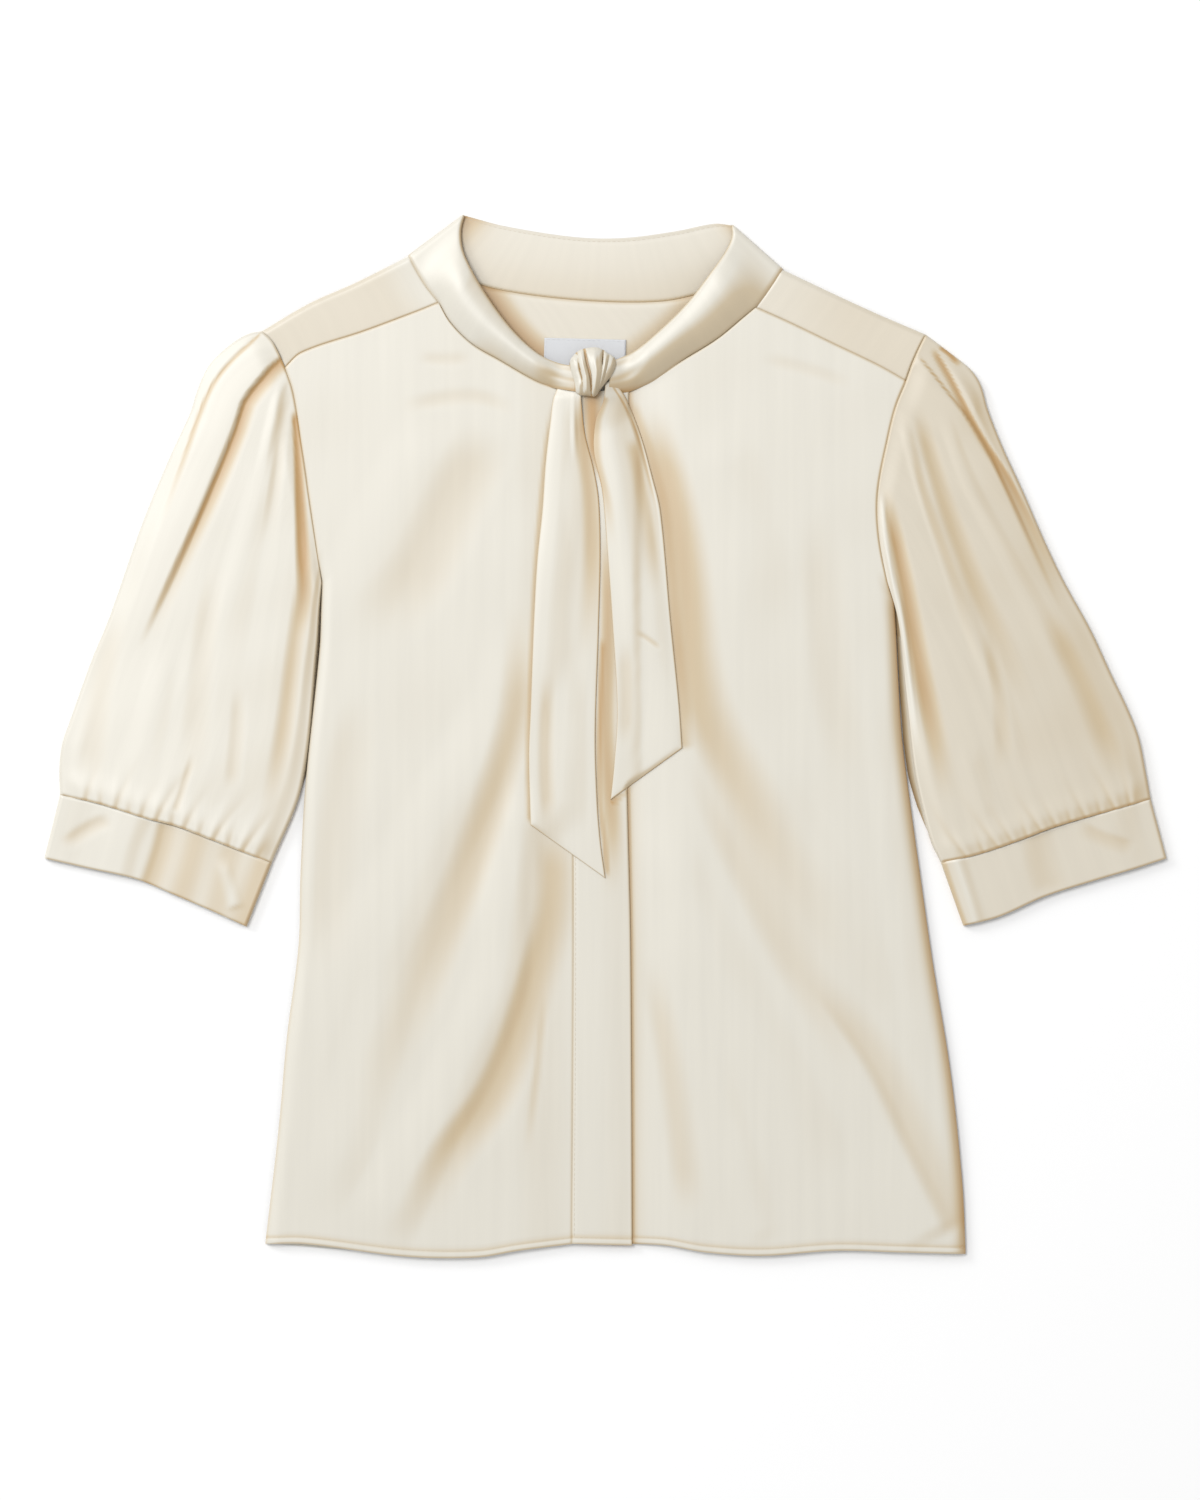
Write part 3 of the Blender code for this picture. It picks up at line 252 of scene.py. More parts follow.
# Painted shadow of the neckband's free edges on the yoke's inside
INSIDE_PAINTED_SHADOWS = (
    (0.0, 3, 17, 0.8, 1.3, 0.05, 0.1, ((-86, 296), (-81, 280), (-71, 263), (-56, 243), (-41, 229), (-26, 222))),
    (0.0, 9, 3, 1.4, 0.6, 0.05, 0.1, ((76, 299), (72, 290), (63, 277), (50, 260), (33, 243), (17, 230), (3, 222))),
)
# Painted shadow on the placket between and beside the ties
PLACKET_PAINTED_SHADOWS = (
    (0.0, 9, 9, 0.5, 1.5, 0.01, 0.4, ((-8, 212), (-8, 196), (-7, 172), (-5, 150))),
    (0.0, 5, 6, 1.6, 1.0, 0.2, 0.3, ((-1, 130), (1, 90), (1, 50), (0, 0), (4, -60), (3, -100))),
    (0.0, 2, 3, 1.0, 0.8, 0.05, 0.05, ((-2, 60), (-4, 2), (-4, -37), (-1, -63), (1, -86))),
    (0.0, 3, 2, 1.0, 0.5, 0.05, 0.05, ((3, -40), (10, -35), (16, -30))),
)
# Cuff folds, columns as for the fronts; the rows of no height only paint shade
CUFF_RIGHT_FOLDS = (
    (0.5, 26, 10, 1.0, 0.0, 0.02, 0.02, ((-280, -46), (-288, -66), (-294, -92))),
    (-0.5, 6, 14, 1.0, 0.55, 0.01, 0.01, ((-263, -50), (-268, -70), (-277, -96))),
    (0.0, 14, 15, 1.0, 0.50, 0.01, 0.01, ((-244, -58), (-249, -78), (-255, -98))),
    (0.0, 14, 15, 1.0, 0.42, 0.01, 0.01, ((-224, -66), (-229, -86), (-234, -106))),
    (0.0, 12, 14, 1.0, 0.55, 0.01, 0.01, ((-205, -74), (-212, -94), (-218, -114))),
    (0.35, 5, 6, 1.3, -0.25, 0.3, 0.1, ((-231, -72), (-227, -86), (-222, -104))),
    (-0.25, 5, 7, 1.0, 0.28, 0.2, 0.3, ((-296, -48), (-312, -56), (-326, -66))),
)
CUFF_LEFT_FOLDS = (
    (0.4, 14, 16, 1.0, 0.0, 0.1, 0.1, ((304, -40), (308, -62), (316, -84))),
    (-0.3, 12, 14, 1.0, 0.14, 0.2, 0.2, ((258, -54), (262, -76), (268, -96))),
    (-0.2, 9, 4, 1.0, 0.22, 0.3, 0.2, ((283, -52), (300, -60), (318, -66))),
    (0.6, 4, 6, 1.0, -0.15, 0.01, 0.01, ((209, -70), (216, -92), (223, -115))),
    (-0.5, 2.5, 3, 1.0, 0.55, 0.01, 0.01, ((202.5, -75), (208.5, -94), (215.5, -114))),
)
# Under layer that shows in the narrow gap beside the body, in painted full shade. Columns: place down, reach
INNER_FILL_RIGHT = ((90, 0), (76, 1.2), (30, 1.6), (-20, 1.4), (-36, 0))
INNER_FILL_LEFT = ((81, 0), (66, 1.8), (35, 3.2), (-3, 4.4), (-25, 4.2), (-42, 2.8), (-58, 0))


def spline(table, fractions, dense=16):
    """Points at fractions of the length of the smooth curve through a table of points."""
    points = np.array(table, float)
    count = len(points)
    t = np.linspace(0, 1, dense, endpoint=False)[:, None]
    parts = []
    for i in range(count - 1):
        before, start = points[max(i - 1, 0)], points[i]
        end, after = points[i + 1], points[min(i + 2, count - 1)]
        chord = np.linalg.norm(end - start)
        lean_in = (end - before) * chord / max(np.linalg.norm(end - before), 1e-9)
        lean_out = (after - start) * chord / max(np.linalg.norm(after - start), 1e-9)
        parts.append(start * (2 * t ** 3 - 3 * t ** 2 + 1) + lean_in * (t ** 3 - 2 * t ** 2 + t)
                     + end * (3 * t ** 2 - 2 * t ** 3) + lean_out * (t ** 3 - t ** 2))
    return at_fractions(np.vstack(parts + [points[-1:]]), fractions)


def running(line):
    """Running length along a line of points."""
    return np.concatenate([[0.0], np.cumsum(np.linalg.norm(np.diff(line, axis=0), axis=1))])


def at_fractions(line, fractions):
    """Points at fractions of a line's length."""
    run = running(line)
    goal = np.clip(fractions, 0, 1) * run[-1]
    return np.stack([np.interp(goal, run, line[:, k]) for k in range(line.shape[1])], axis=1)


def stations(length, step, fine_start=True, fine_end=True):
    """Fractions along a line: even steps, with close ones near its sewn or folded ends."""
    near = np.array([0.0, 0.3, 0.7, 1.2, 1.9, 2.8, 4.0])
    inside = np.arange(4.0 + step, length - 4.0 - step / 2, step)
    start = near if fine_start else np.array([0.0, 2.0, 4.0])
    end = near if fine_end else np.array([0.0, 2.0, 4.0])
    return np.concatenate([start, inside, length - end[::-1]]) / length


def smoothstep(value):
    value = np.clip(value, 0, 1)
    return value * value * (3 - 2 * value)


def coons(north, south, west, east):
    """Plan grid between four lines: north and south run east, west and east run south."""
    runs = [running(line) for line in (north, south, west, east)]
    u = ((runs[0] / runs[0][-1] + runs[1] / runs[1][-1]) / 2)[None, :, None]
    v = ((runs[2] / runs[2][-1] + runs[3] / runs[3][-1]) / 2)[:, None, None]
    ruled = north[None] * (1 - v) + south[None] * v + west[:, None] * (1 - u) + east[:, None] * u
    corners = (north[0] * (1 - u) + north[-1] * u) * (1 - v) + (south[0] * (1 - u) + south[-1] * u) * v
    return ruled - corners


def edge_distances(plan):
    """Distances along the grid to its west, east, north and south edges."""
    across = np.linalg.norm(np.diff(plan, axis=1), axis=2)
    down = np.linalg.norm(np.diff(plan, axis=0), axis=2)
    west = np.concatenate([np.zeros((plan.shape[0], 1)), np.cumsum(across, axis=1)], axis=1)
    north = np.concatenate([np.zeros((1, plan.shape[1])), np.cumsum(down, axis=0)], axis=0)
    return west, west[:, -1:] - west, north, north[-1:] - north


def nearest(plan, route):
    """Distance, side (1 to the picture's right of a route that runs down) and place along a route."""
    line = spline(route, np.linspace(0, 1, 25))
    run = running(line)
    best = np.full(plan.shape[:2], 1e12)
    side = np.zeros(plan.shape[:2])
    along = np.zeros(plan.shape[:2])
    for k in range(len(line) - 1):
        span = line[k + 1] - line[k]
        off = plan - line[k]
        t = np.clip((off @ span) / (span @ span), 0, 1)
        gap = off - t[..., None] * span
        square = (gap ** 2).sum(-1)
        closer = square < best
        best = np.where(closer, square, best)
        side = np.where(closer, np.sign(span[0] * off[..., 1] - span[1] * off[..., 0]), side)
        along = np.where(closer, (run[k] + t * np.linalg.norm(span)) / run[-1], along)
    return np.sqrt(best), side, along


def relief(plan, folds):
    """Height and painted golden shade that a table of folds gives at each place."""
    height = np.zeros(plan.shape[:2])
    shade = np.zeros(plan.shape[:2])
    for lift, left, right, widen, painted_fold_shade, fade_in, fade_out, route in folds:
        distance, side, along = nearest(plan, route)
        width = np.where(side > 0, right, left) * (1 + (widen - 1) * along)
        profile = (1 - np.clip(distance / width, 0, 1) ** 2) ** 2
        ends = smoothstep(along / fade_in) * smoothstep((1 - along) / fade_out)
        height += lift * profile * ends
        shade += FOLD_PAINTED_SHADE * painted_fold_shade * profile * ends
    return height, shade


def ripple(plan, size, seed):
    """Slight uneven waviness of lying cloth, the same on each run."""
    rng = np.random.default_rng(seed)
    total = np.zeros(plan.shape[:2])
    for _ in range(7):
        angle = rng.uniform(0, math.pi)
        wave = size * rng.uniform(0.6, 1.8)
        phase = rng.uniform(0, 2 * math.pi)
        total += np.sin((plan[..., 0] * math.cos(angle) + plan[..., 1] * math.sin(angle)) * 2 * math.pi / wave
                        + phase)
    return total / 7


def seam_groove(distance):
    """Drop of the cloth into a seam."""
    return SEAM_DROP * np.exp(-(distance / SEAM_WIDTH) ** 2)


def with_height(plan, height):
    return np.concatenate([plan, height[..., None]], axis=2)


def slope_painted_shade(points):
    """Painted golden shade on cloth that slopes away from the light's side."""
    across, down = np.gradient(points, axis=1), np.gradient(points, axis=0)
    normal = np.cross(across, down)
    normal /= np.maximum(np.linalg.norm(normal, axis=2, keepdims=True), 1e-12)
    normal *= np.where(normal[..., 2:] < 0, -1, 1)
    away = -(normal[..., 0] * TOWARDS_LIGHT[0] + normal[..., 1] * TOWARDS_LIGHT[1])
    return np.clip(away * SLOPE_PAINTED_SHADE, 0, SLOPE_PAINTED_SHADE_MOST)


def build(name, parts, node, slot="satin", closed=False, thick=0.0):
    """One visible piece from grids of points, each with its painted shade and texture coordinates."""
    vertices, faces, shades, coords = [], [], [], []
    offset = 0
    for points, shade, texture in parts:
        rows, columns = points.shape[:2]
        index = np.arange(rows * columns).reshape(rows, columns) + offset
        ahead = np.roll(index, -1, axis=1) if closed else index[:, 1:]
        here = index if closed else index[:, :-1]
        quads = np.stack([here[:-1], here[1:], ahead[1:], ahead[:-1]], axis=-1).reshape(-1, 4)
        if closed:
            wide = np.concatenate([texture, texture[:, -1:] + (texture[:, -1:] - texture[:, -2:-1])], axis=1)
        else:
            wide = texture
        corner = np.stack([wide[:-1, :-1], wide[1:, :-1], wide[1:, 1:], wide[:-1, 1:]], axis=2)
        vertices.append(points.reshape(-1, 3) * MM)
        faces.append(quads)
        shades.append((shade + slope_painted_shade(points)).reshape(-1))
        coords.append(corner.reshape(-1, 2) * MM)
        offset += rows * columns
    vertices, faces = np.vstack(vertices), np.vstack(faces)
    mesh = bpy.data.meshes.new(name)
    mesh.from_pydata(vertices.tolist(), [], faces.tolist())
    layer = mesh.uv_layers.new(name="weave")
    layer.data.foreach_set("uv", np.vstack(coords).astype(np.float32).ravel())
    attribute = mesh.attributes.new("shade", "FLOAT", "POINT")
    attribute.data.foreach_set("value", np.clip(np.concatenate(shades), 0, 1).astype(np.float32))
    mesh.validate()
    mesh.shade_smooth()
    piece = bpy.data.objects.new(name, mesh)
    bpy.context.scene.collection.objects.link(piece)
    if thick:
        shell = piece.modifiers.new("Cloth", "SOLIDIFY")
        shell.thickness = thick * MM
        shell.offset = -1
    piece.data.materials.append(MATERIALS[slot])
    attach(piece, "root")
    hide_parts(node)
    return piece


def stitches(name, routes, node, cloth, slot="satin"):
    """Rows of short raised threads along routes on a piece of cloth, joined to one object."""
    vertices, faces = [], []
    up = np.array([0.0, 0.0, 1.0])
    turns = np.linspace(0, 2 * math.pi, 7)[:-1]
    for route in routes:
        run = running(route)
        for start in np.arange(0.4, run[-1] - STITCH_LENGTH, STITCH_PITCH):
            places = start + STITCH_LENGTH * np.linspace(0, 1, 5)
            centres = np.stack([np.interp(places, run, route[:, k]) for k in range(3)], axis=1)
            along = centres[-1] - centres[0]
            side = np.cross(along, up)
            side /= np.linalg.norm(side)
            first = len(vertices)
            for centre, swell in zip(centres, (0.3, 0.85, 1.0, 0.85, 0.3)):
                for turn in turns:
                    vertices.append(centre + swell * (side * STITCH_WIDE * math.cos(turn)
                                                      + up * STITCH_HIGH * math.sin(turn)))
            for ring in range(4):
                for k in range(6):
                    here, ahead = first + 6 * ring + k, first + 6 * ring + (k + 1) % 6
                    faces.append((here, ahead, ahead + 6, here + 6))
            faces.append(tuple(first + k for k in range(5, -1, -1)))
            faces.append(tuple(first + 24 + k for k in range(6)))
    mesh = bpy.data.meshes.new(name)
    mesh.from_pydata([tuple(place * MM) for place in vertices], [], faces)
    mesh.validate()
    mesh.shade_smooth()
    threads = bpy.data.objects.new(name, mesh)
    bpy.context.scene.collection.objects.link(threads)
    threads.data.materials.append(MATERIALS["thread" if slot == "satin" else "label_thread"])
    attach(threads, "root")
    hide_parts(node)
    SEWN.setdefault(cloth.name, []).append(threads)


def texture_of(plan):
    """Texture coordinates of a grid: lengths across and down it."""
    west, _, north, _ = edge_distances(plan)
    return np.stack([west, -north], axis=2)


def node_link(tree, source, target):
    tree.links.new(source, target)


def satin_material():
    """Warm white satin: soft lengthwise gloss, with painted golden shade where its shade attribute is high."""
    material = bpy.data.materials.new("cream_satin")
    material.use_nodes = True
    tree = material.node_tree
    nodes = tree.nodes
    shader = nodes["Principled BSDF"]
    # Painted shade: the shade attribute turns the cream towards deep golden brown
    shade = nodes.new("ShaderNodeAttribute")
    shade.attribute_name = "shade"
    ramp = nodes.new("ShaderNodeValToRGB")
    elements = ramp.color_ramp.elements
    elements[0].position, elements[0].color = 0.0, (0.684, 0.653, 0.572, 1)
    elements[1].position, elements[1].color = 1.0, (0.47, 0.285, 0.11, 1)
    middle = elements.new(0.45)
    middle.color = (0.57, 0.46, 0.30, 1)
    node_link(tree, shade.outputs["Fac"], ramp.inputs["Fac"])
    coords = nodes.new("ShaderNodeUVMap")
    coords.uv_map = "weave"
    stretch = nodes.new("ShaderNodeMapping")
    stretch.inputs["Scale"].default_value = (1400, 60, 1)
    slub = nodes.new("ShaderNodeTexNoise")
    slub.inputs["Scale"].default_value = 1.0
    slub.inputs["Detail"].default_value = 2.0
    streak_place = nodes.new("ShaderNodeMapping")
    streak_place.inputs["Scale"].default_value = (160, 7, 1)
    streaks = nodes.new("ShaderNodeTexNoise")
    streaks.inputs["Scale"].default_value = 1.0
    streaks.inputs["Detail"].default_value = 3.0
    tone = nodes.new("ShaderNodeMapRange")
    tone.inputs["From Min"].default_value = 0.25
    tone.inputs["From Max"].default_value = 0.75
    tone.inputs["To Min"].default_value = 0.975
    tone.inputs["To Max"].default_value = 1.02
    tinted = nodes.new("ShaderNodeHueSaturation")
    node_link(tree, coords.outputs["UV"], streak_place.inputs["Vector"])
    node_link(tree, streak_place.outputs["Vector"], streaks.inputs["Vector"])
    node_link(tree, streaks.outputs["Fac"], tone.inputs["Value"])
    node_link(tree, tone.outputs["Result"], tinted.inputs["Value"])
    node_link(tree, ramp.outputs["Color"], tinted.inputs["Color"])
    node_link(tree, tinted.outputs["Color"], shader.inputs["Base Color"])
    bump = nodes.new("ShaderNodeBump")
    bump.inputs["Strength"].default_value = 0.06
    bump.inputs["Distance"].default_value = 0.0003
    node_link(tree, coords.outputs["UV"], stretch.inputs["Vector"])
    node_link(tree, stretch.outputs["Vector"], slub.inputs["Vector"])
    node_link(tree, slub.outputs["Fac"], bump.inputs["Height"])
    node_link(tree, bump.outputs["Normal"], shader.inputs["Normal"])
    tangent = nodes.new("ShaderNodeTangent")
    tangent.direction_type = "UV_MAP"
    tangent.uv_map = "weave"
    node_link(tree, tangent.outputs["Tangent"], shader.inputs["Tangent"])
    shader.inputs["Roughness"].default_value = 0.42
    shader.inputs["Anisotropic"].default_value = 0.45
    shader.inputs["Specular IOR Level"].default_value = 0.9
    shader.inputs["Sheen Weight"].default_value = 0.12
    shader.inputs["Sheen Roughness"].default_value = 0.4
    return material


def plain_material(name, colour, roughness):
    material = bpy.data.materials.new(name)
    material.use_nodes = True
    shader = material.node_tree.nodes["Principled BSDF"]
    shader.inputs["Base Color"].default_value = (*colour, 1)
    shader.inputs["Roughness"].default_value = roughness
    return material


def woven_material(name, colour, roughness, pitch):
    """Plain weave in one colour, with its threads as fine ribs both ways."""
    material = plain_material(name, colour, roughness)
    tree = material.node_tree
    coords = tree.nodes.new("ShaderNodeTexCoord")
    bump = tree.nodes.new("ShaderNodeBump")
    bump.inputs["Strength"].default_value = 0.25
    bump.inputs["Distance"].default_value = 0.0002
    both = tree.nodes.new("ShaderNodeMath")
    both.operation = "MAXIMUM"
    for k, direction in enumerate(("X", "Y")):
        ribs = tree.nodes.new("ShaderNodeTexWave")
        ribs.bands_direction = direction
        ribs.inputs["Scale"].default_value = math.pi / (10 * pitch * MM)
        node_link(tree, coords.outputs["Object"], ribs.inputs["Vector"])
        node_link(tree, ribs.outputs["Fac"], both.inputs[k])
    node_link(tree, both.outputs["Value"], bump.inputs["Height"])
    node_link(tree, bump.outputs["Normal"], tree.nodes["Principled BSDF"].inputs["Normal"])
    return material


def side_round(height, distance):
    """Rounds a front down to its side seam over the last few millimetres."""
    near = np.clip(distance / 9.0, 0, 1)
    return SIDE_TOP + (height - SIDE_TOP) * np.sqrt(1 - (1 - near) ** 2)


def front_right_height(plan):
    lift, shade = relief(plan, FRONT_RIGHT_FOLDS)
    ramp = smoothstep(1 - (PLACKET_SEWN[0][0] - plan[..., 0]) / PLACKET_RAMP)
    height = TOP + (PLACKET_TOP - TOP) * ramp + (1.6 + FRONT_RELIEF * lift) * (1 - ramp)
    height = height + 0.2 * ripple(plan, 90, 3)
    return height, shade


def placket_edge(y):
    """Place across of the placket's free edge at each place down it."""
    route = np.array(PLACKET_FREE[::-1], float)
    return np.interp(y, route[:, 1], route[:, 0])


def placket_height(plan):
    across = np.clip((plan[..., 0] - PLACKET_SEWN[0][0]) / 34, 0, 1)
    return PLACKET_TOP + 0.35 * ripple(plan, 70, 11) + 0.3 * np.sin(across * math.pi)


def front_left_height(plan):
    lift, shade = relief(plan, FRONT_LEFT_FOLDS)
    beside = plan[..., 0] - PLACKET_FREE[-1][0]
    clear = smoothstep((beside + 12) / 50)
    height = UNDERLAP_TOP + (TOP + 1.6 - UNDERLAP_TOP) * clear
    height = height + FRONT_RELIEF * lift * smoothstep((beside + 2) / 12)
    edge = plan[..., 0] - placket_edge(plan[..., 1])
    # Painted cast shadow of the placket's free edge on the front
    shade = shade * smoothstep((beside + 8) / 8) + 0.75 * np.exp(-(np.maximum(edge, 0) / 1.7) ** 2)
    shade = shade + 0.16 * np.exp(-(np.maximum(edge, 0) / 6) ** 2)
    return height + 0.2 * ripple(plan, 90, 5) * clear, shade


def hem_roll(points, shade, texture):
    """Rows that carry a hem's edge down and back under the cloth."""
    last, before = points[-1], points[-4]
    inward = before - last
    inward[:, 2] = 0
    inward /= np.maximum(np.linalg.norm(inward, axis=1, keepdims=True), 1e-9)
    down = np.array([0.0, 0.0, 1.0])
    rows = [points, (last - inward * 0.25 - down * 0.35)[None], (last - down * 0.8)[None],
            (last + inward * 5.0 - down * 0.9)[None]]
    shade = np.concatenate([shade] + [shade[-1:]] * 3)
    texture = np.concatenate([texture] + [texture[-1:] - np.array([0.0, 0.6 * k]) for k in (1, 2, 3)])
    return np.concatenate(rows), shade, texture


def hem_line(distance):
    """Crease of the stitched narrow hem, up from the edge."""
    return 0.16 * np.exp(-((distance - HEM) / 0.5) ** 2) + 0.35 * np.exp(-(distance / 0.5) ** 2)


def make_fronts():
    """Both fronts with their folds, rounded to the side seams and hemmed."""
    fractions = np.concatenate([stations(150, 2.0, True, False)[:-1] * 0.27,
                                0.27 + 0.73 * stations(400, 2.0, False, True)])
    arm = spline(ARMHOLE_RIGHT[3:], stations(150, 2.0, True, False))
    side = spline(SIDE_RIGHT, stations(400, 2.0, False, True))
    west = np.vstack([arm[:-1], side])
    yoke = spline(YOKE_SEAM_RIGHT, stations(100, 2.0, True, False))
    neck = spline(FRONT_NECK_RIGHT, stations(100, 2.0, False, True))
    north = np.vstack([yoke[:-1], neck])
    share = running(north) / running(north)[-1]
    east = spline(PLACKET_SEWN, running(west) / running(west)[-1])
    plan = coons(north, spline(HEM_RIGHT, share), west, east)
    height, shade = front_right_height(plan)
    to_west, to_east, to_north, to_south = edge_distances(plan)
    below = smoothstep((np.arange(plan.shape[0]) - len(arm) + 12) / 16)[:, None]
    rounded = side_round(height, to_west)
    height = height * (1 - below) + rounded * below
    height -= seam_groove(to_north) + seam_groove(to_west) * (1 - below) + hem_line(to_south)
    height -= 0.25 * np.exp(-(to_east / 0.7) ** 2)
    # Painted shade along the yoke seam, the side seam and the hem's crease
    shade = shade + 0.35 * np.exp(-(to_north / 0.9) ** 2) + 0.25 * np.exp(-(to_west / 1.2) ** 2)
    shade = shade + 0.30 * np.exp(-((to_south - HEM) / 0.6) ** 2)
    points = with_height(plan, height)
    right = build("front_right_cloth", [hem_roll(points, shade, plan)], "front_right")
    stitches("hem_stitches_right", [points[-HEM_ROW, 2:-1]], "front_right", right)

    arm = spline(ARMHOLE_LEFT[3:], stations(150, 2.0, True, False))
    side = spline(SIDE_LEFT, stations(400, 2.0, False, True))
    east = np.vstack([arm[:-1], side])
    neck = spline((UNDERLAP_EDGE[0],) + FRONT_NECK_LEFT, stations(130, 2.0, True, False))
    yoke = spline(YOKE_SEAM_LEFT, stations(100, 2.0, False, True))
    north = np.vstack([neck[:-1], yoke])
    share = running(north) / running(north)[-1]
    west = spline(UNDERLAP_EDGE, running(east) / running(east)[-1])
    plan = coons(north, spline(HEM_UNDERLAP, share), west, east)
    height, shade = front_left_height(plan)
    to_west, to_east, to_north, to_south = edge_distances(plan)
    below = smoothstep((np.arange(plan.shape[0]) - len(arm) + 12) / 16)[:, None]
    rounded = side_round(height, to_east)
    height = height * (1 - below) + rounded * below
    height -= seam_groove(to_north) + seam_groove(to_east) * (1 - below) + hem_line(to_south)
    # Painted shade along the yoke seam, the side seam, the side's roll and the hem's crease
    shade = shade + 0.35 * np.exp(-(to_north / 0.9) ** 2) + 0.25 * np.exp(-(to_east / 1.2) ** 2)
    shade += 0.30 * below * (1 - smoothstep(to_east / 7)) + 0.30 * np.exp(-((to_south - HEM) / 0.6) ** 2)
    points = with_height(plan, height)
    left = build("front_left_cloth", [hem_roll(points, shade, plan)], "front_left")
    shown = points[-HEM_ROW][points[-HEM_ROW, :, 0] > PLACKET_FREE[-1][0] + 1]
    stitches("hem_stitches_left", [shown], "front_left", left)
    return right, left


def make_back():
    """Back panel, flat on the surface, seen only from below."""
    arm = spline(ARMHOLE_RIGHT[5:], np.linspace(0, 1, 20))
    west = np.vstack([arm[:-1], spline(SIDE_RIGHT, np.linspace(0, 1, 90))])
    arm = spline(ARMHOLE_LEFT[5:], np.linspace(0, 1, 20))
    east = np.vstack([arm[:-1], spline(SIDE_LEFT, np.linspace(0, 1, 90))])
    share = np.linspace(0, 1, 90)
    north = at_fractions(np.array([west[0], east[0]]), share)
    plan = coons(north, spline(HEM_BACK, share), west, east)
    lift, shade = relief(plan, FRONT_RIGHT_FOLDS + FRONT_LEFT_FOLDS)
    height = 0.75 + 0.12 * np.clip(lift, -2, 2)
    # Painted shade of the fronts' folds, at 0.3 strength
    piece = build("back_cloth", [(with_height(plan, height), shade * 0.3, texture_of(plan))], "back")
    return piece


def make_yoke():
    """Yoke: the back's top, folded over the shoulders and sewn to both fronts."""
    down = stations(26, 2.0)
    flaps = []
    for arm, neck, fold, seam, is_right in (
            (ARMHOLE_RIGHT[:4], FLAP_NECK_RIGHT, SHOULDER_RIGHT, YOKE_SEAM_RIGHT, True),
            (ARMHOLE_LEFT[:4], FLAP_NECK_LEFT, SHOULDER_LEFT, YOKE_SEAM_LEFT, False)):
        across = stations(100, 2.0)
        outer, inner = (arm, neck) if is_right else (neck, arm)
        plan = coons(spline(fold, across), spline(seam, across), spline(outer, down), spline(inner, down))
        to_west, to_east, to_north, to_south = edge_distances(plan)
        round_off = np.sqrt(1 - (1 - np.clip(to_north / 3.2, 0, 1)) ** 2)
        height = TOP / 2 + (TOP / 2 + 0.4) * round_off + 0.5 * ripple(plan, 60, 7)
        height -= seam_groove(to_south) * 0.5 + seam_groove(to_west) + seam_groove(to_east)
        # Painted shade: a golden tone over each flap, and along its seam to the front
        tone = 0.17 * smoothstep(to_east / 26) if is_right else 0.10 + 0.10 * smoothstep(to_west / 60)
        shade = tone + 0.30 * np.exp(-(to_south / 0.8) ** 2)
        flaps.append((with_height(plan, height), shade, texture_of(plan)))
    count = 120
    share = np.linspace(0, 1, count)
    arm_right = spline(ARMHOLE_RIGHT[:6], np.linspace(0, 1, 40))
    arm_left = spline(ARMHOLE_LEFT[:6], np.linspace(0, 1, 40))
    top = np.vstack([spline(SHOULDER_RIGHT, np.linspace(0, 1, 30))[:-1],
                     spline(BACK_NECK, np.linspace(0, 1, 61))[:-1],
                     spline(SHOULDER_LEFT, np.linspace(0, 1, 30))])
    north = at_fractions(top, share)
    south = at_fractions(np.array([arm_right[-1], arm_left[-1]]), share)
    plan = coons(north, south, arm_right, arm_left)
    _, _, to_north, _ = edge_distances(plan)
    height = 0.8 + 0.5 * np.exp(-(to_north / 4) ** 2)
    height = np.where(to_north < 0.01, TOP / 2 - 0.5, height)
    neck_part = smoothstep((95 - np.abs(plan[..., 0] + 5)) / 20)
    height = height * (1 - neck_part) + (1.0 - 0.5 * np.exp(-(to_north / 1.5) ** 2)) * neck_part
    # Painted shade over the inside of the back, along the back neck seam and in the neckband's cast shadows
    _, band_painted_shadow = relief(plan, INSIDE_PAINTED_SHADOWS)
    shade = 0.10 + 0.30 * np.exp(-(to_north / 0.8) ** 2) + band_painted_shadow
    flaps.append((with_height(plan, height), shade, texture_of(plan)))
    return build("yoke_cloth", flaps, "yoke")


def make_placket():
    """Folded strip down the centre front; no button shows."""
    down = stations(510, 2.2)
    west, east = spline(PLACKET_SEWN, down), spline(PLACKET_FREE, down)
    across = np.concatenate([[0, 0.3, 0.7, 1.2, 2.0, 3.0, 4.5], np.arange(6.5, 28, 1.8),
                             34 - np.array([4.5, 3.0, 2.0, 1.2, 0.7, 0.3, 0])]) / 34
    plan = coons(at_fractions(np.array([west[0], east[0]]), across),
                 at_fractions(np.array([west[-1], east[-1]]), across), west, east)
    to_west, to_east, _, to_south = edge_distances(plan)
    height = placket_height(plan) - 0.25 * np.exp(-(to_west / 0.6) ** 2) - hem_line(to_south)
    height -= 0.5 * (1 - np.sqrt(1 - (1 - np.clip(to_east / 1.0, 0, 1)) ** 2))
    height -= 0.10 * np.exp(-((to_west - 1.2) / 0.4) ** 2)
    _, shade = relief(plan, PLACKET_PAINTED_SHADOWS)
    # Painted shade along the sewn edge and the hem's crease
    shade = shade + 0.22 * np.exp(-(to_west / 0.6) ** 2) + 0.30 * np.exp(-((to_south - HEM) / 0.6) ** 2)
    points = with_height(plan, height)
    seams = [points[4:-4, 3], points[-HEM_ROW, 2:-1]]
    under = points[:, -1:] * 1.0
    under[..., 2] -= 1.1
    tucked = under.copy()
    tucked[..., 0] -= 12
    points = np.concatenate([points, under, tucked], axis=1)
    # Painted shade on the under layer tucked below the free edge
    shade = np.concatenate([shade, shade[:, -1:] + 0.5, shade[:, -1:] + 0.5], axis=1)
    texture = texture_of(plan)
    texture = np.concatenate([texture, texture[:, -1:] + np.array([1.1, 0.0]),
                              texture[:, -1:] + np.array([13.0, 0.0])], axis=1)
    piece = build("placket_cloth", [(points, shade, texture)], "placket")
    stitches("placket_stitches", seams, "placket", piece)
    return piece


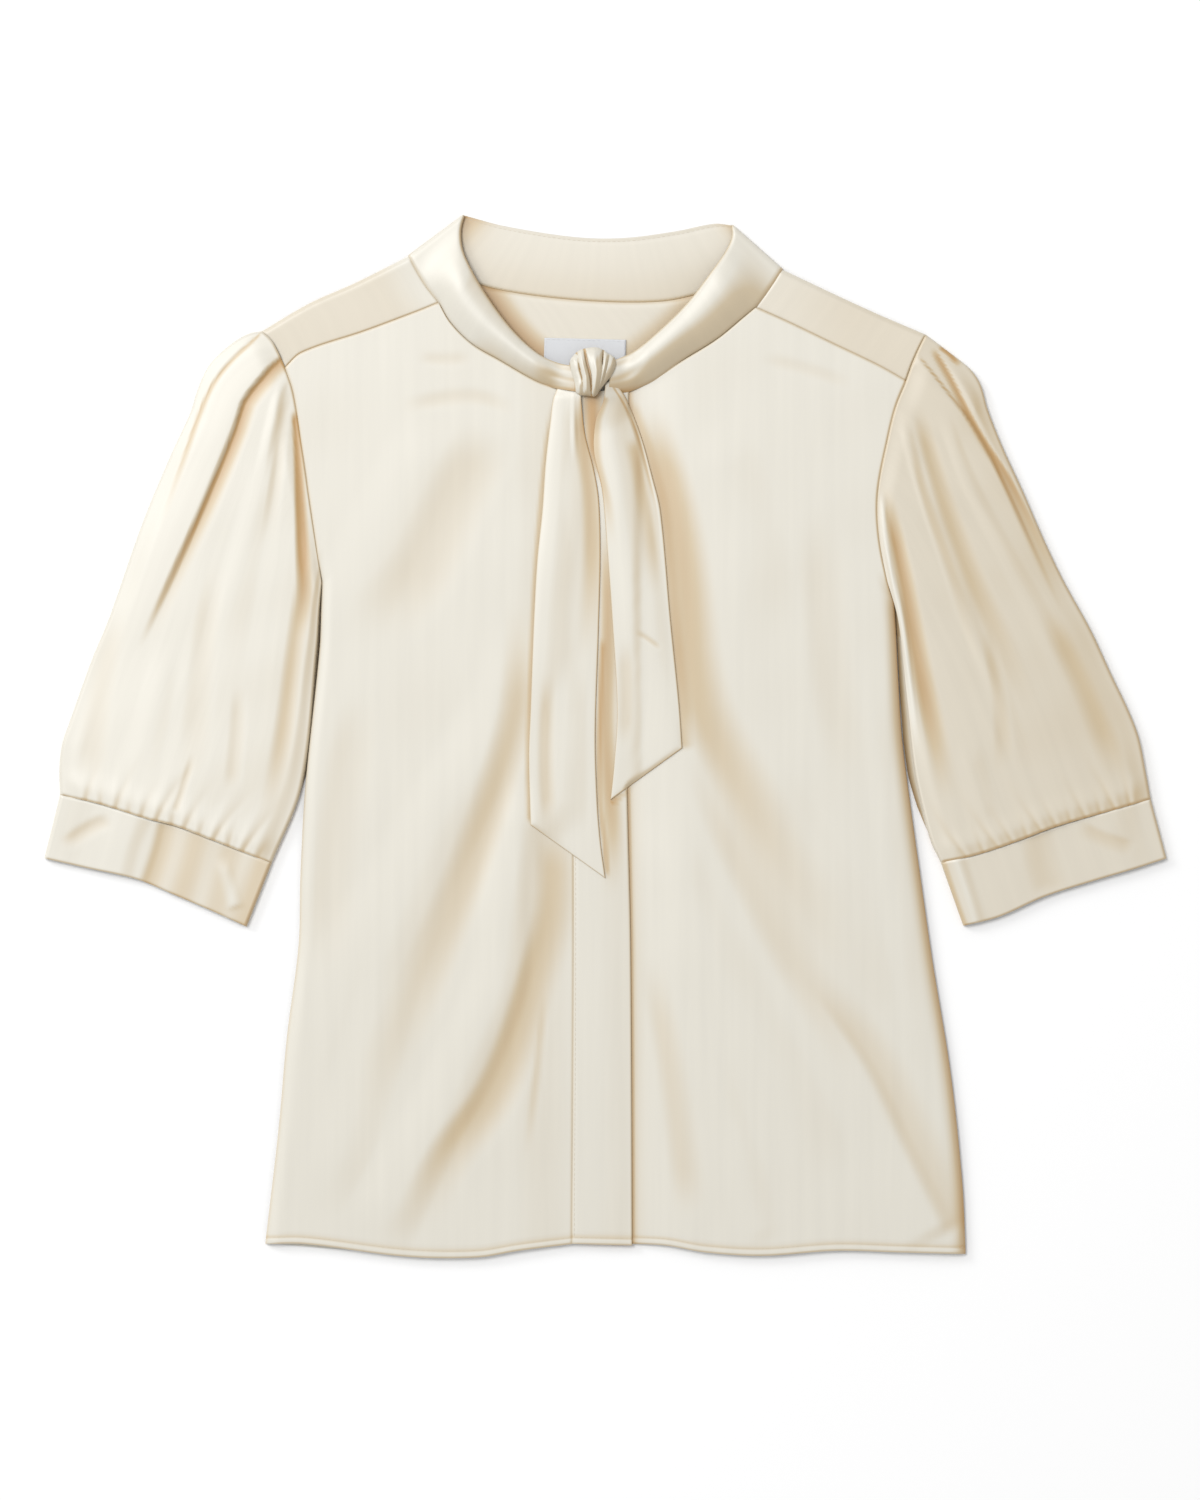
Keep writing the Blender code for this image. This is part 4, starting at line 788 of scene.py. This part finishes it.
def tube(plan, height, shade, thick_edge=TOP, floor=0.1, fill=None, fill_side=1):
    """Closed rows of a flattened tube from its top grid, rounded at both folded sides.

    fill lets the under layer reach out past the inner fold, in painted full shade. Columns: place down, reach.
    """
    to_west, to_east, _, _ = edge_distances(plan)
    near = np.minimum(to_west, to_east)
    round_off = np.sqrt(1 - (1 - np.clip(near / 1.8, 0, 1)) ** 2)
    middle = thick_edge / 2
    top = middle + (height - middle) * round_off
    columns = plan.shape[1]
    keep = np.unique(np.concatenate([np.arange(1, 7), np.arange(7, columns - 7, 3),
                                     np.arange(columns - 7, columns - 1)]))[::-1]
    bottom = middle - (middle - floor) * round_off[:, keep]
    under, under_shade = plan[:, keep] * 1.0, shade[:, keep] * 0.5
    if fill:
        places = np.array(fill, float)
        reach = np.interp(-under[..., 1], -places[:, 0], places[:, 1])
        inner = (to_west if fill_side > 0 else to_east)[:, keep]
        close = smoothstep((4.5 - inner) / 4.5)
        under[..., 0] -= fill_side * reach * close
        # Painted full shade on the reaching strip
        under_shade = under_shade + close
    points = np.concatenate([with_height(plan, top), with_height(under, bottom)], axis=1)
    shades = np.concatenate([shade, under_shade], axis=1)
    across = np.concatenate([to_west, 2 * to_west[:, -1:] - to_west[:, keep]], axis=1)
    _, _, north, _ = edge_distances(plan)
    down = np.concatenate([north, north[:, keep]], axis=1)
    return points, shades, np.stack([across, -down], axis=2)


def make_sleeve(name, armhole, outer, inner, cuff_seam, folds, gathers, tone, fill, outer_is_west):
    """Puffed sleeve, a flattened tube with pleats at the cap and gathers above the cuff."""
    across = stations(150, 1.1)
    down = stations(300, 2.0)
    cap, hem = spline(armhole, across), spline(cuff_seam, across)
    outer_line, inner_line = spline(outer, down), spline(inner, down)
    if outer_is_west:
        plan = coons(cap, hem, outer_line, inner_line)
    else:
        plan = coons(cap[::-1], hem[::-1], inner_line, outer_line)
    to_west, to_east, to_north, to_south = edge_distances(plan)
    lift, shade = relief(plan, folds)
    lift *= SLEEVE_RELIEF
    width = to_west + to_east
    from_outer = (to_west if outer_is_west else to_east) / width
    sign = 1 if outer_is_west else -1
    for place, reach, rise, lean in gathers:
        up = to_south
        line = place + lean * up / 10 * sign
        half = 0.012 * (1 + up / 26)
        off = from_outer - line
        fade = np.exp(-(up / (GATHER_REACH * reach)) ** 1.5)
        ridge = np.exp(-(off / half) ** 2) * fade
        trough = np.exp(-((off - 1.9 * half) / (0.7 * half)) ** 2) * fade
        lift += GATHER_SCALE * rise * (ridge - 0.8 * trough)
        # Painted shade in each gather's trough
        shade += 0.16 * trough
    puff = 1.6 * np.sin(np.clip(from_outer, 0, 1) * math.pi) ** 0.5
    over_cuff = 0.5 * np.exp(-((to_south - 8) / 7) ** 2)
    calm = smoothstep(np.minimum(to_west, to_east) / 12)
    near_cap = 0.55 + 0.45 * smoothstep(to_north / 14)
    height = TOP + 0.8 + (puff + lift + over_cuff) * calm * near_cap + 0.4 * ripple(plan, 80, 13)
    height -= seam_groove(to_north) * 1.2 + 0.5 * np.exp(-(to_south / 0.8) ** 2)
    # Painted shade along the cuff and armhole seams, and a painted golden tone over the whole sleeve, strongest at
    # its outer edge
    shade += 0.28 * np.exp(-(to_south / 0.8) ** 2) + 0.25 * np.exp(-(to_north / 1.2) ** 2)
    shade += tone * (1 - 0.35 * from_outer)
    shell = tube(plan, height, shade, fill=fill, fill_side=-sign)
    return build(name + "_cloth", [shell], name, closed=True)


def make_cuff(name, cuff_seam, cuff_end, folds, tone, outer_is_west):
    """Wide plain cuff with soft shine, a flattened tube sewn to the sleeve."""
    across = stations(140, 1.6)
    down = stations(40, 1.6)
    top, end = spline(cuff_seam, across), spline(cuff_end, across)
    outer_line = at_fractions(np.array([top[0], end[0]]), down)
    inner_line = at_fractions(np.array([top[-1], end[-1]]), down)
    if outer_is_west:
        plan = coons(top, end, outer_line, inner_line)
    else:
        plan = coons(top[::-1], end[::-1], inner_line, outer_line)
    to_west, to_east, to_north, to_south = edge_distances(plan)
    lift, shade = relief(plan, folds)
    height = TOP + 0.9 + lift + 0.3 * ripple(plan, 50, 17)
    height -= 0.3 * np.exp(-(to_north / 0.6) ** 2) + 0.6 * np.exp(-(to_south / 0.5) ** 2)
    # Painted golden tone over the whole cuff, on top of its folds' painted shade
    return build(name + "_cloth", [tube(plan, height, shade + tone)], name, closed=True)


def make_neckband():
    """Standing band: flat round the back, folded at the shoulders, arched over the fronts."""
    across = np.array([0, 0.01, 0.025, 0.05] + list(np.linspace(0.09, 0.91, 22)) + [0.95, 0.975, 0.99, 1.0])

    def half(flap_neck, front_neck, free, low_edge_lift):
        line = np.vstack([spline(flap_neck, np.linspace(0, 1, 24))[:-1],
                          spline(front_neck, np.linspace(0, 1, 80))])
        share = np.concatenate([[0, 0.003, 0.008, 0.016], np.linspace(0.028, 1, 90)])
        sewn = at_fractions(line, share)
        edge = spline(free, share)
        plan = sewn[:, None] * (1 - across[None, :, None]) + edge[:, None] * across[None, :, None]
        t = share[:, None]
        c = across[None, :]
        width = np.linalg.norm(edge - sewn, axis=1)[:, None]
        open_up = smoothstep((t - 0.01) / 0.3)
        near_knot = smoothstep((t - 0.78) / 0.2)
        fold = np.sqrt(1 - (1 - np.clip(t * running(line)[-1] / 3.0, 0, 1)) ** 2)
        base = TOP / 2 + (TOP / 2) * fold
        rise = 4.2 * open_up * (1 - 0.55 * near_knot)
        crown = 2.6 * open_up * (1 - 0.5 * near_knot)
        height = base + rise * np.sin(c * math.pi / 2) + crown * np.sin(c * math.pi) + 0.4
        height -= 0.7 * np.exp(-(c * width / 0.9) ** 2)
        height -= 1.2 * (1 - np.sqrt(1 - (1 - np.clip((1 - c) * width / 2.0, 0, 1)) ** 2))
        wrinkle = np.sin(c * 5 * math.pi + 4 * t) * smoothstep((t - 0.80) / 0.12)
        height = height + 0.28 * wrinkle
        tuck = smoothstep((t - 0.84) / 0.13) * (low_edge_lift + (1 - low_edge_lift) * smoothstep(c / 0.5))
        height = height + (KNOT_FLOOR - height) * tuck * 0.9
        # Painted shade along the sewn edge, near the knot, on the free edge's rim and in the wrinkles
        shade = 0.30 * np.exp(-(c * width / 1.2) ** 2) + 0.32 * near_knot * (1 - c) ** 2
        shade = shade + 0.45 * np.exp(-((1 - c) * width / 0.7) ** 2)
        shade = shade + 0.25 * near_knot * np.clip(-wrinkle, 0, 1)
        return with_height(plan, height), shade

    front_right = FRONT_NECK_RIGHT[:-1] + ((-16, 206),)
    front_left = ((2, 205.5), (13, 206.5), (23, 210.5), (31, 214.5)) + FRONT_NECK_LEFT[2:]
    right, right_shade = half(FLAP_NECK_RIGHT, front_right, BAND_FREE_RIGHT, 1.0)
    left, left_shade = half(FLAP_NECK_LEFT, front_left[::-1], BAND_FREE_LEFT, 0.3)
    share = np.linspace(0, 1, 100)[1:-1]
    sewn, free = spline(BACK_NECK, share), spline(BAND_FREE_BACK, share)
    plan = sewn[:, None] * (1 - across[None, :, None]) + free[:, None] * across[None, :, None]
    c = across[None, :]
    place = share[:, None]
    height = 0.9 + 0.4 * np.sin(c * math.pi) - 0.22 * np.exp(-(c * 36 / 0.7) ** 2)
    height = height - 0.18 * np.exp(-(((1 - c) * 36 - 1.6) / 0.4) ** 2)
    height = np.broadcast_to(height, plan.shape[:2])
    # Painted shade in the back band's corners under the fronts, along its seam and towards its sewn edge
    back_shade = 0.06 + 0.80 * np.exp(-(place / 0.08) ** 2) + 0.40 * np.exp(-((1 - place) / 0.05) ** 2)
    back_shade = back_shade + 0.30 * np.exp(-(c * 36 / 0.6) ** 2) + 0.10 * (1 - c)
    back = with_height(plan, height)
    points = np.concatenate([right[::-1], back, left])
    shade = np.concatenate([right_shade[::-1], back_shade, left_shade])
    down = running(points[:, len(across) // 2, :2])
    texture = np.stack([np.repeat(down[:, None], len(across), axis=1),
                        np.repeat(across[None] * 38, len(points), axis=0)], axis=2)
    piece = build("neckband_cloth", [(points, shade, texture)], "neckband", thick=BAND_THICK)
    stitches("neckband_stitches", [back[:, -4], back[:, 2]], "neckband", piece)
    return piece


def soften(values, rounds):
    """Evens out a grid of values by repeated averaging with its neighbours."""
    for _ in range(rounds):
        wide = np.pad(values, 1, mode="edge")
        values = (wide[:-2, 1:-1] + wide[2:, 1:-1] + wide[1:-1, :-2] + wide[1:-1, 2:] + 2 * values) / 6
    return values


def under_ties(plan):
    """Highest cloth below each place of the ties."""
    right, _ = front_right_height(plan)
    left, _ = front_left_height(plan)
    over = np.where(plan[..., 0] < PLACKET_SEWN[0][0], right, left)
    placket = (plan[..., 0] >= PLACKET_SEWN[0][0]) & (plan[..., 0] < placket_edge(plan[..., 1]))
    return np.where(placket, placket_height(plan), over)


def make_tie(name, left_edge, right_edge, folds):
    """One end of the neckband, hanging from the knot over the fronts."""
    down = stations(280, 1.8, False, True)
    west, east = spline(left_edge, down), spline(right_edge, down)
    across = np.concatenate([[0, 0.3, 0.7, 1.2, 2.0, 3.0], np.arange(4.2, 39, 1.2),
                             43 - np.array([3.0, 2.0, 1.2, 0.7, 0.3, 0])]) / 43
    plan = coons(at_fractions(np.array([west[0], east[0]]), across),
                 at_fractions(np.array([west[-1], east[-1]]), across), west, east)
    to_west, to_east, to_north, to_south = edge_distances(plan)
    lift, shade = relief(plan, folds)
    base = np.maximum.reduce([under_ties(plan + np.array(move)) for move in
                              ((-7, 0), (0, 0), (7, 0), (0, 8), (0, -8))])
    near = np.minimum(np.minimum(to_west, to_east), to_south)
    edge = np.exp(-(near / 2.0) ** 2)
    below = under_ties(plan)
    base = soften(base, 14) * (1 - edge) + soften(below, 2) * edge
    # Painted shade along the tie's edges
    shade = shade + 0.40 * np.exp(-(near / 0.6) ** 2)
    height = base + TIE_THICK + np.maximum(TIE_RELIEF * lift, -0.2)
    round_off = np.sqrt(1 - (1 - np.clip(near / 0.9, 0, 1)) ** 2)
    height -= (1 - round_off) * (TIE_THICK - TIE_SHELL)
    to_knot = np.linalg.norm(plan - np.array(KNOT_FOOT), axis=2)
    tuck = smoothstep(1 - (to_knot - 4) / 24)
    height = height + (KNOT_FLOOR - 0.3 - height) * tuck
    height = np.maximum(height, below + TIE_SHELL + 0.02)
    return build(name + "_cloth", [(with_height(plan, height), shade, texture_of(plan))], name,
                 thick=TIE_SHELL)


# Tie folds, columns as for the fronts; the golden column is painted shade
TIE_RIGHT_FOLDS = (
    (1.7, 12, 17, 1.5, 0.0, 0.02, 0.5, ((-25, 207), (-26, 170), (-28, 130), (-32, 60), (-35, 10))),
    (-0.2, 6, 7, 1.5, 0.75, 0.02, 0.5, ((-12, 204), (-13, 176), (-9, 145), (-8, 100), (-11, 40))),
    (0.6, 2.0, 2.0, 1.5, 0.0, 0.02, 0.6, ((-19, 206), (-19, 190), (-18, 160))),
    (0.7, 10, 10, 1.4, 0.0, 0.3, 0.2, ((-20, 50), (-22, -10), (-24, -60))),
    (-0.4, 5, 6, 1.2, 0.35, 0.3, 0.2, ((-34, 40), (-36, -10), (-34, -54))),
)
TIE_LEFT_FOLDS = (
    (1.5, 11, 13, 1.6, 0.0, 0.02, 0.4, ((3, 208), (3, 182), (9, 150), (17, 100), (23, 40), (26, 0))),
    (-0.2, 3, 4, 1.2, 0.70, 0.02, 0.5, ((0, 204), (-5, 188), (-5, 166), (1, 140), (4, 110))),
    (-0.5, 0.9, 1.1, 1.4, 0.75, 0.02, 0.5, ((4, 210), (10.5, 200), (19, 181), (25.5, 157), (30, 135), (33, 110))),
    (-0.2, 7, 4, 1.4, 0.50, 0.1, 0.4, ((16, 180), (23, 150), (28, 120), (32, 80))),
    (-0.35, 2, 2.5, 1.0, 0.40, 0.3, 0.3, ((18, 63), (26, 58), (34, 52))),
    (-0.4, 6, 6, 1.2, 0.25, 0.3, 0.3, ((12, 60), (13, 20), (12, -10))),
)
# Strands of the knot. Columns: crest height, half width at its top and bottom, route down it
STRANDS = (
    (7.4, 2.9, 2.4, ((-19.0, 226.5), (-18.2, 219), (-16.2, 212), (-15.2, 203.5))),
    (8.3, 2.0, 2.3, ((-15.0, 230.5), (-13.4, 221.6), (-11.6, 213.9), (-10.9, 204))),
    (9.4, 5.4, 1.6, ((-6.9, 233.5), (-6.2, 224.2), (-5.3, 216), (-6.4, 203.5))),
    (8.4, 1.7, 1.2, ((0.6, 229.5), (-0.4, 222), (-1.8, 215), (-3.6, 208))),
    (7.6, 3.4, 1.6, ((5.2, 227.5), (3.4, 220.5), (0.9, 214.5), (-1.8, 209))),
)
KNOT_CENTRE = (-7.6, 218.0)
KNOT_FOOT = (-7.0, 208.0)
KNOT_OUTLINE = (
    (-20.9, 226.2), (-21.6, 222.6), (-20.2, 217), (-18.7, 211.5), (-18.2, 206.5), (-15.5, 204.3),
    (-10.5, 203.8), (-6.5, 203.4), (-3, 207.6), (1, 212.6), (4.4, 217.2), (6.4, 222.5), (5.4, 226.6),
    (1.5, 229.4), (-4, 232.6), (-10.5, 232.6), (-16.5, 230.6), (-20.9, 226.2))


def make_knot():
    """Knot: strands of the band wrapped down over one another, with crisp creases between."""
    rings = 56
    reach = np.concatenate([np.linspace(0, 0.9, rings - 14), np.linspace(0.91, 1.0, 14)])
    outline = spline(KNOT_OUTLINE, np.linspace(0, 1, 181))[:-1] - np.array(KNOT_CENTRE)
    plan = np.array(KNOT_CENTRE) + reach[:, None, None] * outline[None]
    best = np.zeros(plan.shape[:2])
    for crest, wide, narrow, route in STRANDS:
        distance, _, along = nearest(plan, route)
        half = wide + (narrow - wide) * along
        section = np.clip(1 - (distance / half) ** 2, 0, 1) ** 0.6
        fine = 0.16 * np.cos(distance / half * 7) * section
        best = np.maximum(best, (crest - STRAND_ROUND) + STRAND_ROUND * section + fine - 12 * (section <= 0))
    dome = np.sqrt(np.clip(1 - reach[:, None] ** 2.6, 0, 1))
    body = np.maximum(best, 4.6)
    height = KNOT_FLOOR + 0.2 + body * dome
    # Painted shade in the creases between the strands
    shade = 0.75 * smoothstep((6.3 - best) / 1.6)
    points = with_height(plan, height)
    rim = points[-1:] * 1.0
    rim[..., :2] = KNOT_CENTRE + (rim[..., :2] - np.array(KNOT_CENTRE)) * 0.6
    rim[..., 2] = KNOT_FLOOR
    points = np.concatenate([points, rim])
    shade = np.concatenate([shade, shade[-1:]])
    flat = plan - np.array(KNOT_CENTRE)
    texture = np.concatenate([flat, flat[-1:]])
    return build("knot_cloth", [(points[::-1], shade[::-1], texture[::-1])], "knot", closed=True)


def make_label():
    """Blank woven label inside the back neck."""
    across, down = np.linspace(-24.5, 24.5, 50), np.linspace(10.5, -10.5, 24)
    turn = math.radians(-1.4)
    x, y = np.meshgrid(across, down)
    plan = np.stack([x * math.cos(turn) - y * math.sin(turn) - 12.4,
                     x * math.sin(turn) + y * math.cos(turn) + 228.0], axis=2)
    height = 1.75 + 0.1 * ripple(plan, 30, 19)
    points = with_height(plan, height)
    piece = build("label_cloth", [(points, np.zeros(plan.shape[:2]), plan)], "label", slot="label", thick=0.4)
    inside = [points[1, 1:-1], points[1:, 1], points[1:, -2]]
    stitches("label_stitches", inside, "label", piece, "label")
    return piece


def make_stage():
    """White floor, soft key light from the upper left, white surroundings and the camera."""
    bpy.ops.mesh.primitive_plane_add(size=8.0, location=(0, 0, FLOOR_Z))
    floor = bpy.context.object
    floor.name = "floor"
    floor.data.materials.append(plain_material("floor_white", (0.93, 0.93, 0.93), 0.9))
    for name, place, size, energy in LIGHTS:
        light = bpy.data.lights.new(name, "AREA")
        light.size = size
        light.energy = energy
        lamp = bpy.data.objects.new(name, light)
        lamp.location = place
        lamp.rotation_euler = (-Vector(place)).to_track_quat("-Z", "Y").to_euler()
        bpy.context.scene.collection.objects.link(lamp)
    world = bpy.data.worlds.new("surroundings")
    world.use_nodes = True
    world.node_tree.nodes["Background"].inputs["Color"].default_value = (1, 1, 1, 1)
    world.node_tree.nodes["Background"].inputs["Strength"].default_value = WORLD_STRENGTH
    bpy.context.scene.world = world
    bpy.context.scene.view_settings.view_transform = "Standard"
    data = bpy.data.cameras.new("camera")
    data.sensor_fit = "VERTICAL"
    data.sensor_height = CAMERA_SENSOR
    data.lens = CAMERA_LENS
    camera = bpy.data.objects.new("camera", data)
    camera.location = CAMERA_PLACE
    bpy.context.scene.collection.objects.link(camera)
    bpy.context.scene.camera = camera


MATERIALS = {
    "satin": satin_material(),
    "label": woven_material("label_weave", (0.66, 0.67, 0.69), 0.75, 0.5),
    "thread": woven_material("sewing_thread", (0.60, 0.53, 0.41), 0.6, 0.3),
    "label_thread": woven_material("label_thread", (0.60, 0.61, 0.63), 0.6, 0.3)}
SEWN = {}
HEM_ROW = 7
make_stage()
front_right, front_left = make_fronts()
back = make_back()
yoke = make_yoke()
placket = make_placket()
sleeve_right = make_sleeve("sleeve_right", ARMHOLE_RIGHT, SLEEVE_OUTER_RIGHT, SLEEVE_INNER_RIGHT,
                           CUFF_SEAM_RIGHT, SLEEVE_RIGHT_FOLDS, GATHERS_RIGHT, 0.0, INNER_FILL_RIGHT, True)
sleeve_left = make_sleeve("sleeve_left", ARMHOLE_LEFT, SLEEVE_OUTER_LEFT, SLEEVE_INNER_LEFT,
                          CUFF_SEAM_LEFT, SLEEVE_LEFT_FOLDS, GATHERS_LEFT, 0.20, INNER_FILL_LEFT, False)
cuff_right = make_cuff("cuff_right", CUFF_SEAM_RIGHT, CUFF_END_RIGHT, CUFF_RIGHT_FOLDS, 0.0, True)
cuff_left = make_cuff("cuff_left", CUFF_SEAM_LEFT, CUFF_END_LEFT, CUFF_LEFT_FOLDS, 0.13, False)
neckband = make_neckband()
tie_right = make_tie("tie_right", TIE_RIGHT_LEFT_EDGE, TIE_RIGHT_RIGHT_EDGE, TIE_RIGHT_FOLDS)
tie_left = make_tie("tie_left", TIE_LEFT_LEFT_EDGE, TIE_LEFT_RIGHT_EDGE, TIE_LEFT_FOLDS)
knot = make_knot()
label = make_label()
